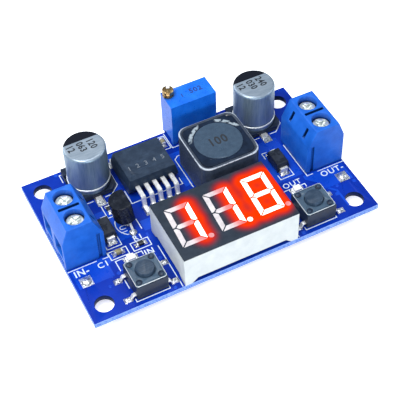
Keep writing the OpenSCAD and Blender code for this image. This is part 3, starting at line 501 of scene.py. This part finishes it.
def soften(obj, width, angle=30.0):
    """Rounds an object's hard edges a little, so that they catch the light."""
    for polygon in obj.data.polygons:
        polygon.use_smooth = True
    weld = obj.modifiers.new("weld", "WELD")
    weld.merge_threshold = 1e-6
    edges = obj.modifiers.new("edges", "BEVEL")
    edges.width = width * MM
    edges.segments = 2
    edges.limit_method = "ANGLE"
    edges.angle_limit = math.radians(angle)
    normals = obj.modifiers.new("normals", "WEIGHTED_NORMAL")
    normals.weight = 50


def dress(obj, material):
    obj.data.materials.clear()
    obj.data.materials.append(material)


for name, (finish, width) in FINISH.items():
    dress(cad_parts[name], ENAMEL[finish])
    soften(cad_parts[name], width)


# ---------------------------------------------------------------- new pieces

def mesh_object(name, bm):
    """Turns a bmesh in millimetres into an object of the scene."""
    bmesh.ops.scale(bm, vec=(MM, MM, MM), verts=bm.verts)
    mesh = bpy.data.meshes.new(name)
    bm.to_mesh(mesh)
    bm.free()
    obj = bpy.data.objects.new(name, mesh)
    bpy.context.scene.collection.objects.link(obj)
    return obj


def piece(name, bm, material, smooth=False):
    """A piece that rides on the board, made from a bmesh in millimetres."""
    bmesh.ops.recalc_face_normals(bm, faces=bm.faces)
    obj = mesh_object(name, bm)
    dress(obj, ENAMEL[material])
    for polygon in obj.data.polygons:
        polygon.use_smooth = smooth
    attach(obj, "board")
    return obj


def bridge(bm, rings):
    """Faces between each ring of points and the next."""
    for a, b in zip(rings, rings[1:]):
        for k in range(len(a)):
            j = (k + 1) % len(a)
            bm.faces.new((a[k], a[j], b[j], b[k]))


def ribbon(bm, points, width, low, high, closed=False):
    """A flat printed line of one width through `points`, with mitred corners."""
    pts = [Vector((p[0], p[1])) for p in points]
    count = len(pts)
    rows = []
    for i, p in enumerate(pts):
        before = pts[i - 1] if i or closed else None
        after = pts[(i + 1) % count] if i < count - 1 or closed else None
        ends = [pair for pair in ((before, p), (p, after)) if None not in pair]
        ways = [(b - a).normalized() for a, b in ends]
        normals = [Vector((-w.y, w.x)) for w in ways]
        side = sum(normals, Vector((0, 0))).normalized()
        side = side * (width / 2) / max(side.dot(normals[0]), 0.35)
        corners = ((1, low), (-1, low), (-1, high), (1, high))
        rows.append([bm.verts.new((*(p + side * s), z)) for s, z in corners])
    bridge(bm, rows + rows[:1] if closed else rows)
    if not closed:
        bm.faces.new(rows[0])
        bm.faces.new(rows[-1][::-1])


def slab(bm, outline, low, high):
    """A flat plate with the given outline."""
    base = [bm.verts.new((x, y, low)) for x, y in outline]
    lid = [bm.verts.new((x, y, high)) for x, y in outline]
    bm.faces.new(base[::-1])
    bm.faces.new(lid)
    for i in range(len(base)):
        j = (i + 1) % len(base)
        bm.faces.new((base[i], base[j], lid[j], lid[i]))


def arc(centre, radius, start, end, steps=14):
    """Points on an arc, angles in degrees."""
    turns = [math.radians(start + (end - start) * i / steps) for i in range(steps + 1)]
    return [(centre[0] + radius * math.cos(t), centre[1] + radius * math.sin(t)) for t in turns]


def letters(bm, text, height, place, turn=0.0, weight=0.0, thick=0.02, squeeze=1.0, align="CENTER"):
    """Printed characters at `place` (x, y, z), read along +X before the turn."""
    curve = bpy.data.curves.new("letters", "FONT")
    curve.body = text
    curve.size = 1.0
    curve.align_x, curve.align_y = align, "CENTER"
    curve.offset = weight
    curve.space_character = 1.12
    curve.extrude = 0.5
    curve.resolution_u = 3
    obj = bpy.data.objects.new("letters", curve)
    bpy.context.scene.collection.objects.link(obj)
    bpy.context.view_layer.update()
    mesh = bpy.data.meshes.new_from_object(obj.evaluated_get(bpy.context.evaluated_depsgraph_get()))
    size = height / max(v.co.y for v in mesh.vertices) / 2
    scale = Matrix.Diagonal((size * squeeze, size, thick, 1))
    mesh.transform(Matrix.Translation(place) @ Matrix.Rotation(math.radians(turn), 4, "Z") @ scale)
    bm.from_mesh(mesh)
    bpy.data.objects.remove(obj)
    bpy.data.meshes.remove(mesh)
    bpy.data.curves.remove(curve)


def mound(bm, pad, lead, height, fade, base, seed, steps=12):
    """Solder on a pad: it stands `height` tall at the lead and sinks to nothing at the pad's edge."""
    (x0, y0), (x1, y1) = pad
    grid = []
    for j in range(steps + 1):
        row = []
        for i in range(steps + 1):
            u, v = 2 * i / steps - 1, 2 * j / steps - 1
            # square grid drawn towards a rounded outline
            shrink = 1 - 0.10 * (u * v) ** 2
            x = (x0 + x1) / 2 + u * shrink * (x1 - x0) / 2
            y = (y0 + y1) / 2 + v * shrink * (y1 - y0) / 2
            away = math.hypot(max(lead[0][0] - x, x - lead[1][0], 0),
                              max(lead[0][1] - y, y - lead[1][1], 0))
            rim = (1 - abs(u) ** 5) * (1 - abs(v) ** 5)
            wave = 1 + 0.22 * noise.noise(Vector((x * 1.7 + seed, y * 1.7, seed)))
            row.append(bm.verts.new((x, y, base + height * math.exp(-away / fade) * rim * wave)))
        grid.append(row)
    for j in range(steps):
        for i in range(steps):
            bm.faces.new((grid[j][i], grid[j][i + 1], grid[j + 1][i + 1], grid[j + 1][i]))
    ring = grid[0][:-1] + [r[-1] for r in grid[:-1]] + grid[-1][:0:-1] + [r[0] for r in grid[:0:-1]]
    skirt = [bm.verts.new((v.co.x, v.co.y, base - 0.03)) for v in ring]
    for i in range(len(ring)):
        j = (i + 1) % len(ring)
        bm.faces.new((ring[j], ring[i], skirt[i], skirt[j]))
    bm.faces.new(skirt)


def dome(bm, centre, radius, height, base, fullness=0.6, segments=20, rings=7):
    """A round drop of solder; a negative height makes it hang."""
    rows = []
    for k in range(rings + 1):
        r = radius * (1 - k / rings)
        h = height * (1 - (r / radius) ** 2) ** fullness
        if k == rings:
            rows.append([bm.verts.new((centre[0], centre[1], base + height))])
            break
        turn = [2 * math.pi * i / segments for i in range(segments)]
        rows.append([bm.verts.new((centre[0] + r * math.cos(t), centre[1] + r * math.sin(t), base + h))
                     for t in turn])
    for low, high in zip(rows, rows[1:]):
        for i in range(segments):
            j = (i + 1) % segments
            if len(high) == 1:
                bm.faces.new((low[i], low[j], high[0]))
            else:
                bm.faces.new((low[i], low[j], high[j], high[i]))
    bm.faces.new(rows[0][::-1])


# ---------------------------------------------------------------- silkscreen and copper

INK_LOW, INK_HIGH = TOP - 0.004, TOP + 0.022
STROKE = 0.17


def near(node, side):
    """The solid of a node that lies furthest towards -X (side -1) or +X (side +1)."""
    boxes = [b for b in solids(node) if b[0].z > TOP - 0.5]
    return min(boxes, key=lambda b: -side * middle(b).x)


def line(bm, *points):
    ribbon(bm, points, STROKE, INK_LOW, INK_HIGH)


def printed_frame(bm, c, half, low=INK_LOW, high=INK_HIGH, stroke=STROKE):
    """A closed frame, `half` its size away from the centre on each side."""
    w, h = half
    ribbon(bm, [(c.x - w, c.y - h), (c.x + w, c.y - h), (c.x + w, c.y + h), (c.x - w, c.y + h)],
           stroke, low, high, closed=True)


def turned(box, w, h):
    """Half sizes of a frame, swapped where the part lies along Y."""
    size = box[1] - box[0]
    return (h, w) if size.y > size.x else (w, h)


def block_lines(bm):
    """The line in front of each terminal block and a tick at its inner corner."""
    for side, end in ((-1, "input"), (1, "output")):
        low, high = span(f"{end}_housing")
        inner, outer = (high.x, low.x) if side < 0 else (low.x, high.x)
        y = low.y - 0.42
        gap = inner + side * 1.1
        line(bm, (outer, y), (gap + side * 1.1, y))
        line(bm, (gap, y - 0.1), (inner - side * 0.1, y - 0.1), (inner - side * 0.1, y + 0.9))
    low = span("output_housing")[0]
    line(bm, (low.x - 0.12, low.y + 0.6), (low.x - 0.12, low.y + 8.6))


def diode_lines(bm):
    """A frame round each diode and its leads, open at the back."""
    for side in (-1, 1):
        c = middle(near("diode_bodies", side))
        x0, x1, y0, y1 = c.x - 1.42, c.x + 1.42, c.y - 3.72, c.y + 3.72
        line(bm, (x0, c.y - 2.5), (x0, y0), (x1, y0), (x1, c.y - 1.5))
        line(bm, (x0, c.y + 2.2), (x0, y1), (x0 + 1.0, y1))
        line(bm, (x1 - 1.0, y1), (x1, y1), (x1, c.y + 2.2))


def chip_frames(bm):
    for name, half in (("chip_resistors", (1.72, 0.95)), ("chip_capacitors", (1.76, 0.92))):
        for box in solids(name):
            if box[0].z >= TOP:
                printed_frame(bm, middle(box), turned(box, *half))


def key_lines(bm):
    """Brackets round each key and the lamp behind it."""
    for side, end in ((-1, "input"), (1, "output")):
        low, high = span(f"{end}_key_base")
        lamp = near("lamp_bases", side)
        back = lamp[1].y + 0.2
        x0, x1, front = low.x - 0.05, high.x - 0.9, low.y - 0.12
        line(bm, (x0, high.y + 1.2), (x0, back), (lamp[0].x - 0.05, back))
        line(bm, (lamp[1].x - 0.1, back), (x1, back), (x1, back - 0.85))
        line(bm, (low.x - 0.25, high.y - 0.9), (low.x - 0.25, low.y + 3.0))
        line(bm, (low.x - 0.25, low.y + 0.5), (low.x - 0.25, front - 0.1), (high.x + 0.12, front - 0.1),
             (high.x + 0.12, low.y + 0.6))
        line(bm, (high.x + 0.12, low.y + 2.0), (high.x + 0.12, high.y - 1.2))


def large_part_lines(bm):
    """Outlines of the readout, regulator, inductor and trimmer."""
    low, high = span("readout_housing")
    for x in (low.x - 0.42, high.x + 0.40):
        line(bm, (x, low.y + 0.1), (x, high.y - 3.6))
    low, high = span("regulator_body")
    line(bm, (low.x - 0.12, low.y + 3.4), (low.x - 0.12, low.y - 1.08), (high.x + 0.3, low.y - 1.08),
         (high.x + 0.3, low.y + 0.6))
    low, high = span("inductor_shield")
    line(bm, (low.x - 0.28, low.y + 4.3), (low.x - 0.28, high.y + 0.15), (low.x + 0.55, high.y + 0.85),
         (low.x + 3.0, high.y + 0.85))
    line(bm, (low.x - 0.28, low.y + 3.2), (low.x - 0.28, low.y - 0.1), (low.x + 0.55, low.y - 0.75),
         (low.x + 3.0, low.y - 0.75))
    line(bm, (high.x - 3.0, low.y - 0.75), (high.x - 0.5, low.y - 0.75), (high.x + 0.3, low.y - 0.1),
         (high.x + 0.3, high.y + 0.1), (high.x - 0.5, high.y + 0.85), (high.x - 3.0, high.y + 0.85))
    low, high = span("trimmer_body")
    line(bm, (low.x - 0.42, high.y - 1.0), (low.x - 0.42, low.y - 0.5), (high.x + 0.4, low.y - 0.5),
         (high.x + 0.4, high.y - 1.0))


def can_lines(bm):
    """A square with two cut corners round each can, broken at the leads."""
    for end in ("input", "output"):
        low, high = span(f"{end}_capacitor_base")
        cut, out, c = 1.3, 0.3, middle((low, high))
        x0, y0, x1, y1 = low.x - out, low.y - 0.6, high.x + out, high.y + out
        line(bm, (x0, y0 + 2.2), (x0, y0 + 0.2), (c.x - 1.15, y0 + 0.2))
        line(bm, (c.x + 1.2, y0 + 0.2), (x1 - cut - 0.6, y0 + 0.2), (x1, y0 + cut + 0.6), (x1, y1 - 3.0))
        line(bm, (x0, y1 - 2.0), (x0, y1), (c.x - 1.15, y1))


def reference_lines(bm, centre):
    """The half-round outline of the three-legged reference."""
    low, high = span("reference_case")
    c = middle((low, high))
    line(bm, (high.x + 0.62, c.y - 2.8), (high.x + 0.62, c.y - 0.2))
    ribbon(bm, arc(centre, 2.95, 140, 238), STROKE, INK_LOW, INK_HIGH)


def labels(bm, reference):
    """Generic lettering: the two ends, the probe pads and three part letters."""
    left_pad, right_pad = near("top_pads", -1), near("top_pads", 1)
    left_lamp, right_lamp = near("lamp_bases", -1), near("lamp_bases", 1)
    chip = middle(near("chip_capacitors", -1))
    front = min((middle(b) for b in solids("chip_resistors") if b[0].z > TOP), key=lambda p: p.y)
    # text, height, x, y, turn, added weight
    for text, height, x, y, turn, weight in (
            ("IN-", 1.55, middle(left_pad).x, left_pad[1].y + 1.15, 0, 0.022),
            ("OUT-", 1.50, middle(right_pad).x - 0.9, right_pad[1].y + 1.15, 0, 0.018),
            ("IN", 1.35, left_lamp[1].x + 2.65, middle(left_lamp).y + 0.05, 0, 0.012),
            ("OUT", 1.35, middle(right_lamp).x - 0.05, right_lamp[1].y + 1.2, 0, 0.006),
            ("C1", 1.4, chip.x - 3.45, chip.y - 1.05, 0, 0.014),
            ("R1", 1.3, front.x + 0.15, front.y + 1.68, 0, 0.014),
            ("U1", 1.2, reference[0] - 2.0, reference[1] - 0.95, -90, 0.0)):
        letters(bm, text, height, (x, y, (INK_LOW + INK_HIGH) / 2), turn=turn, weight=weight)


def print_silkscreen():
    bm = bmesh.new()
    c = middle(span("reference_case"))
    reference = (c.x + 1.55, c.y - 0.45)
    block_lines(bm)
    diode_lines(bm)
    chip_frames(bm)
    key_lines(bm)
    large_part_lines(bm)
    can_lines(bm)
    reference_lines(bm, reference)
    labels(bm, reference)
    return piece("board_silkscreen", bm, "silk")


def print_underside():
    """Sparse marks on the hidden side: pin-one dots and outlines."""
    bm = bmesh.new()
    low, high = BOTTOM - 0.022, BOTTOM + 0.004
    chip = span("controller_body")
    for x in (chip[0].x - 0.3, chip[1].x + 0.3):
        ribbon(bm, [(x, chip[0].y - 0.1), (x, chip[1].y + 0.1)], STROKE, low, high)
    slab(bm, arc((chip[0].x - 0.8, chip[0].y - 0.4), 0.22, 0, 345, 15), low, high)
    for box in solids("chip_resistors") + solids("chip_capacitors"):
        if box[0].z > TOP - 0.5:
            continue
        # one chip stands close to its neighbours and has a smaller frame
        crowded = box[0].x > -9.6 and box[1].x < -8.1
        half = (1.5, 0.85) if crowded else turned(box, 1.7, 0.95)
        printed_frame(bm, middle(box), half, low, high, 0.15)
    return piece("underside_silkscreen", bm, "silk")


def pour_copper():
    """Copper areas that show through the mask as lighter, barely raised fields."""
    bm = bmesh.new()
    low, high = TOP - 0.004, TOP + 0.012
    in_low, in_high = span("input_housing")
    out_low, out_high = span("output_housing")
    edge = BOARD_HIGH.x - 0.6
    front = in_low.y - 0.2
    slab(bm, [(-edge, front), (-edge, front - 4.7), (-21.2, front - 4.7), (-21.2, front - 1.9),
              (-19.9, front - 1.2), (-19.9, front)], low, high)
    slab(bm, [(edge, front), (edge - 8.2, front), (edge - 8.2, front - 1.0), (edge - 6.6, front - 2.6),
              (edge - 6.6, front - 4.7), (edge, front - 4.7)][::-1], low, high)
    # between the blocks: broad supply fields
    slab(bm, [(in_high.x + 0.5, -3.2), (in_high.x + 5.6, -3.2), (in_high.x + 5.6, 2.6),
              (in_high.x + 3.8, 4.9), (in_high.x + 0.5, 4.9)], low, high - 0.004)
    slab(bm, [(-12.2, -3.1), (1.0, -3.1), (1.0, -0.6), (-12.2, -0.6)], low, high - 0.003)
    slab(bm, [(13.4, -4.6), (out_low.x - 0.5, -4.6), (out_low.x - 0.5, 6.2), (13.4, 6.2)],
         low, high - 0.005)
    slab(bm, [(-0.9, 3.0), (13.4, 3.0), (13.4, 11.9), (-0.9, 11.9)], low, high - 0.006)
    slab(bm, [(-11.9, 14.6), (-0.9, 14.6), (-0.9, 17.2), (-11.9, 17.2)], low, high - 0.004)
    # tracks
    for points in ([(-20.0, -9.3), (-15.2, -9.3), (-14.0, -8.9), (-12.6, -8.9)],
                   [(-13.2, -5.6), (-12.2, -4.8), (-12.2, -3.6)],
                   [(12.8, -9.4), (15.0, -9.4), (16.0, -8.6)],
                   [(22.4, -9.9), (23.6, -11.2), (23.6, -15.2)]):
        ribbon(bm, points, 0.4, low, high)
    return piece("copper_under_mask", bm, "pour")


def vias():
    """Tented vias: small raised rings under the mask."""
    bm = bmesh.new()
    places = [(-24.0, -8.2), (-23.4, -9.4), (-21.9, -9.6), (-22.9, -11.6), (-20.4, -9.6), (-12.5, -10.0),
              (13.2, -8.2), (22.8, -8.9), (23.2, -11.9), (24.2, -10.2), (27.7, -10.6), (13.0, -17.0),
              (-12.9, -17.1), (1.4, -2.4), (-1.0, -2.3), (-11.0, -2.3), (14.3, 4.7), (19.6, 4.9),
              (-20.1, 5.7), (-12.9, 4.9), (-12.2, 6.2), (12.9, 13.0), (13.6, 17.0), (-21.6, 17.2)]
    for i, (x, y) in enumerate(places):
        ring = 0.36 + 0.05 * (i % 3)
        rings = [[bm.verts.new((px, py, TOP + lift)) for px, py in arc((x, y), ring * share, 0, 345, 15)]
                 for share, lift in ((1, -0.004), (0.82, 0.02), (0.5, 0.02), (0.34, 0.002))]
        bridge(bm, rings)
        bm.faces.new(rings[-1])
        bm.faces.new(rings[0][::-1])
    return piece("tented_vias", bm, "pour", smooth=True)


# ---------------------------------------------------------------- solder

def touching(pad, boxes, slack=0.3):
    """The solids of `boxes` that stand on a pad."""
    return [b for b in boxes if b[0].x < pad[1].x and b[1].x > pad[0].x and b[0].y < pad[1].y
            and b[1].y > pad[0].y and b[0].z < pad[1].z + slack and b[1].z > pad[1].z]


def top_solder():
    """A fillet on each top pad, highest where the lead meets it."""
    leads = [b for node in ("diode_leads", "regulator_leads", "input_capacitor_leads",
                            "output_capacitor_leads", "chip_caps", "lamp_bases", "input_key_leads",
                            "output_key_leads", "inductor_terminals") for b in solids(node)]
    bm = bmesh.new()
    for seed, pad in enumerate(solids("top_pads")):
        size = pad[1] - pad[0]
        if size.z > 0.3 or size.x > 8:
            continue
        for lead in touching(pad, leads):
            height = min(0.42, 0.55 * (lead[1].z - pad[1].z))
            height = 0.5 if size.x > 5 else height
            mound(bm, ((pad[0].x, pad[0].y), (pad[1].x, pad[1].y)),
                  ((lead[0].x, lead[0].y), (lead[1].x, lead[1].y)), height,
                  0.3 + 0.12 * min(size.x, size.y), pad[1].z - 0.01, seed)
    # round joints of the through-hole legs
    for box in filter(in_legs, solids("bottom_solder")):
        c = middle(box)
        dome(bm, (c.x, c.y), 0.82, 0.5, TOP - 0.01, 0.8)
    return piece("top_solder_fillets", bm, "tin", smooth=True)


def in_legs(box):
    """True for the bottom joints below the half-round reference."""
    low, high = span("reference_legs")
    c = middle(box)
    return low.x - 0.5 < c.x < high.x + 0.5 and low.y - 0.5 < c.y < high.y + 0.5


def probe_domes():
    """Fat drops of solder on the two probe pads."""
    bm = bmesh.new()
    for side in (-1, 1):
        low, high = near("top_pads", side)
        c = middle((low, high))
        wide = (high.x - low.x) / 2
        dome(bm, (c.x, c.y), wide * 0.86, 0.55, PAD_TOP - 0.02, 0.55, 28, 9)
    return piece("probe_solder", bm, "tin", smooth=True)


def bottom_drops():
    """Cones of solder round the through-hole pins on the hidden side."""
    bm = bmesh.new()
    for low, high in solids("bottom_solder"):
        size = high - low
        if size.z < 1.0:
            continue
        c = middle((low, high))
        radius = min(size.x, size.y) / 2 * 1.02
        dome(bm, (c.x, c.y), radius, -0.22, BOTTOM + 0.01, 1.3, 20, 6)
    return piece("bottom_solder_rings", bm, "tin", smooth=True)


# ---------------------------------------------------------------- printing on the parts

def can_marks(end, lines):
    """Three short lines of plain numbers across the bright part of a can's top."""
    low, high = span(f"{end}_capacitor_can")
    c = middle((low, high))
    pitch = 2.0
    bm = bmesh.new()
    for k, text in enumerate(lines):
        place = (c.x - 0.7 + pitch * (1 - k), c.y + 1.2, high.z + 0.006)
        letters(bm, text, 1.6, place, turn=-84, weight=0.028, thick=0.012, squeeze=0.82, align="LEFT")
    return piece(f"{end}_can_marks", bm, "black_ink")


def inductor_mark():
    low, high = span("inductor_core")
    c = middle((low, high))
    bm = bmesh.new()
    letters(bm, "100", 2.3, (c.x - 0.1, c.y - 0.1, high.z + 0.006), thick=0.012, weight=0.022, squeeze=0.85)
    return piece("inductor_mark", bm, "black_ink")


def regulator_marks():
    """Plain pin numbers in faint grey, one above each lead."""
    top = span("regulator_body")
    bm = bmesh.new()
    for number, lead in enumerate(solids("regulator_leads"), 1):
        letters(bm, str(number), 1.15, (middle(lead).x, top[0].y + 3.2, top[1].z + 0.004), thick=0.01)
    return piece("regulator_marks", bm, "grey_ink")


def trimmer_mark():
    low, high = span("trimmer_body")
    bm = bmesh.new()
    letters(bm, "502", 1.35, ((low.x + high.x) / 2 + 1.6, (low.y + high.y) / 2 + 0.1, high.z + 0.006),
            thick=0.012, weight=0.02)
    letters(bm, "1", 1.0, (low.x + 3.4, (low.y + high.y) / 2 - 0.2, high.z + 0.006),
            thick=0.012, weight=0.02)
    return piece("trimmer_mark", bm, "blue_ink")


# ---------------------------------------------------------------- small parts

def poured_resin():
    """The top of the winding's resin, drawn up the walls and lumpy in the corners."""
    low, high = span("inductor_resin")
    core = span("inductor_core")
    c, rim = middle((low, high)), span("inductor_shield")[1].z
    half, inner, bend = (high.x - low.x) / 2 + 0.05, (core[1].x - core[0].x) / 2 - 0.05, 1.9
    around, steps = 96, 12
    bm = bmesh.new()
    rows = []
    for j in range(steps + 1):
        t = j / steps
        row = []
        for i in range(around):
            a = 2 * math.pi * i / around
            ux, uy = math.cos(a), math.sin(a)
            # superellipse close to the rounded square of the shield's wall
            far = half / (abs(ux) ** 7 + abs(uy) ** 7) ** (1 / 7)
            r = inner + (far - inner) * t
            x, y = c.x + r * ux, c.y + r * uy
            wall, hub = far - r, r - inner
            lump = noise.noise(Vector((x * 0.9, y * 0.9, 3.7)))
            rise = 0.15 * math.exp(-wall / 0.55) + 0.05 * math.exp(-hub / 0.3) + 0.04 * (0.5 + lump)
            row.append(bm.verts.new((x, y, min(high.z + 0.012 + rise, rim - 0.01))))
        rows.append(row)
    for p, q in zip(rows, rows[1:]):
        for i in range(around):
            k = (i + 1) % around
            bm.faces.new((p[i], q[i], q[k], p[k]))
    return piece("resin_surface", bm, "resin", smooth=True)


def tube(bm, path, radius, sides=8):
    """A thin round bead along a closed path."""
    rows = []
    for i, p in enumerate(path):
        way = (Vector(path[(i + 1) % len(path)]) - Vector(path[i - 1])).normalized()
        side = way.cross(Vector((0, 0, 1))).normalized()
        up = side.cross(way)
        turn = [2 * math.pi * k / sides for k in range(sides)]
        rows.append([bm.verts.new(Vector(p) + side * radius * math.cos(t) + up * radius * math.sin(t))
                     for t in turn])
    bridge(bm, rows + rows[:1])


def round_rect(c, hx, hy, bend, z, steps=6):
    """Points round a rectangle with rounded corners."""
    points = []
    for sx, sy, start in ((1, 1, 0), (-1, 1, 90), (-1, -1, 180), (1, -1, 270)):
        points += arc((c.x + sx * (hx - bend), c.y + sy * (hy - bend)), bend, start, start + 90, steps)
    return [(x, y, z) for x, y in points]


def can_beads():
    """The rolled bead at the foot of each can, in a lighter metal whose brightness is a painted highlight.
    """
    for end in ("input", "output"):
        low, high = span(f"{end}_capacitor_can")
        seat = span(f"{end}_capacitor_base")[1].z
        c, r = middle((low, high)), (high.x - low.x) / 2
        bm = bmesh.new()
        circle = arc((c.x, c.y), r - 0.02, 0, 352.5, 47)
        tube(bm, [(x, y, seat + 0.22) for x, y in circle], 0.20, sides=12)
        piece(f"{end}_can_bead", bm, "bright", smooth=True)


def key_edges():
    """The folded steel edge round the top of each key: a bright bead that is a painted highlight along the
    edge.
    """
    for end in ("input", "output"):
        low, high = span(f"{end}_key_cover")
        c = middle((low, high))
        bm = bmesh.new()
        half = (high - low) / 2 - Vector((0.02, 0.02, 0))
        tube(bm, round_rect(c, half.x, half.y, 0.45, high.z - 0.05), 0.065)
        piece(f"{end}_key_edge", bm, "bright", smooth=True)


def key_rivets():
    """Heat-staked posts at the corners of each key's steel cover."""
    for end in ("input", "output"):
        low, high = span(f"{end}_key_cover")
        bm = bmesh.new()
        for sx in (-1, 1):
            for sy in (-1, 1):
                c = middle((low, high))
                x, y = c.x + sx * 2.22, c.y + sy * 2.22
                dome(bm, (x, y), 0.44, 0.26, high.z - 0.02, 0.5, 18, 6)
        piece(f"{end}_key_rivets", bm, "button", smooth=True)


print_silkscreen()
print_underside()
pour_copper()
vias()
top_solder()
probe_domes()
bottom_drops()
can_marks("input", ("120", "063", "12"))
can_marks("output", ("240", "030", "12"))
inductor_mark()
regulator_marks()
trimmer_mark()
poured_resin()
can_beads()
key_edges()
key_rivets()


# ---------------------------------------------------------------- studio

def new_nodes(tree, *kinds):
    """Empties a node tree and adds one node of each kind."""
    tree.nodes.clear()
    return [tree.nodes.new("ShaderNode" + kind) for kind in kinds]


def paper():
    """White paper that is bright only to the camera, and clear from below to show the underside."""
    material = bpy.data.materials.new("paper")
    material.use_nodes = True
    tree, link = material.node_tree, material.node_tree.links.new
    matt, grain, tint, shine, both, path, pick, below, clear, side, out = new_nodes(
        tree, "BsdfDiffuse", "TexNoise", "Mix", "Emission", "AddShader", "LightPath", "MixShader",
        "NewGeometry", "BsdfTransparent", "MixShader", "OutputMaterial")
    grain.inputs["Scale"].default_value = 40.0
    tint.data_type = "RGBA"
    tint.inputs[6].default_value = (0.93, 0.945, 0.97, 1)
    tint.inputs[7].default_value = (0.96, 0.97, 0.985, 1)
    shine.inputs["Strength"].default_value = 0.62
    link(grain.outputs[0], tint.inputs[0])
    link(tint.outputs[2], matt.inputs["Color"])
    link(matt.outputs[0], both.inputs[0])
    link(shine.outputs[0], both.inputs[1])
    link(path.outputs["Is Camera Ray"], pick.inputs[0])
    link(matt.outputs[0], pick.inputs[1])
    link(both.outputs[0], pick.inputs[2])
    link(below.outputs["Backfacing"], side.inputs[0])
    link(pick.outputs[0], side.inputs[1])
    link(clear.outputs[0], side.inputs[2])
    link(side.outputs[0], out.inputs["Surface"])
    return material


def backdrop():
    """A white floor that keeps a soft shadow and meets a white background."""
    bm = bmesh.new()
    z = min(span("bottom_solder")[0].z, span("input_contacts")[0].z) - 0.01
    size = 900
    corners = ((-size, -size), (size, -size), (size, size), (-size, size))
    bm.faces.new([bm.verts.new((x, y, z)) for x, y in corners])
    floor = mesh_object("studio_floor", bm)
    floor.data.materials.append(paper())


def sky():
    """Pale studio air; white where the camera looks past the floor."""
    world = bpy.data.worlds.new("studio")
    bpy.context.scene.world = world
    world.use_nodes = True
    tree, link = world.node_tree, world.node_tree.links.new
    out, soft, white, path, pick = new_nodes(
        tree, "OutputWorld", "Background", "Background", "LightPath", "MixShader")
    soft.inputs["Color"].default_value = (0.74, 0.86, 1.0, 1)
    soft.inputs["Strength"].default_value = 0.36
    white.inputs["Color"].default_value = (1, 1, 1, 1)
    white.inputs["Strength"].default_value = 1.0
    link(path.outputs["Is Camera Ray"], pick.inputs[0])
    link(soft.outputs[0], pick.inputs[1])
    link(white.outputs[0], pick.inputs[2])
    link(pick.outputs[0], out.inputs["Surface"])


TARGET = Vector((0.228, 0.914, TOP))


def toward(azimuth, elevation):
    """Unit vector from the target to a point seen at this azimuth and elevation."""
    a, e = math.radians(azimuth), math.radians(elevation)
    return Vector((-math.sin(a) * math.cos(e), -math.cos(a) * math.cos(e), math.sin(e)))


def lamp(name, azimuth, elevation, distance, size, power, colour=(1, 1, 1)):
    light = bpy.data.lights.new(name, "AREA")
    light.shape = "RECTANGLE"
    light.size, light.size_y = size[0] * MM, size[1] * MM
    light.energy = power
    light.color = colour
    obj = bpy.data.objects.new(name, light)
    back = toward(azimuth, elevation)
    obj.location = (TARGET + back * distance) * MM
    obj.rotation_euler = back.to_track_quat("Z", "Y").to_euler()
    bpy.context.scene.collection.objects.link(obj)


def camera():
    azimuth, elevation, roll = 24.669, 49.059, math.radians(-2.638)
    distance = 209.105
    back = toward(azimuth, elevation)
    ahead = -back
    right = ahead.cross(Vector((0, 0, 1))).normalized()
    up = right.cross(ahead)
    right, up = (right * math.cos(roll) + up * math.sin(roll), up * math.cos(roll) - right * math.sin(roll))
    data = bpy.data.cameras.new("camera")
    data.sensor_width = 36.0
    data.lens = 100.43
    data.shift_x, data.shift_y = 0.00935, -0.0208
    data.clip_start, data.clip_end = 0.01, 10.0
    obj = bpy.data.objects.new("camera", data)
    turn = Matrix((right, up, back)).transposed().to_4x4()
    obj.matrix_world = Matrix.Translation((TARGET + back * distance) * MM) @ turn
    bpy.context.scene.collection.objects.link(obj)
    bpy.context.scene.camera = obj


backdrop()
sky()
lamp("key_softbox", 66, 64, 260, (150, 130), 0.66, (1.0, 0.985, 0.96))
lamp("overhead", 200, 70, 240, (56, 56), 0.12)
lamp("front_fill", 14, 14, 260, (200, 60), 0.27, (0.95, 0.97, 1.0))
lamp("right_fill", -75, 30, 280, (120, 90), 0.16, (0.90, 0.95, 1.0))
lamp("back_rim", 150, 22, 260, (160, 60), 0.22, (0.97, 0.98, 1.0))
camera()
bpy.context.scene.view_settings.view_transform = "Standard"
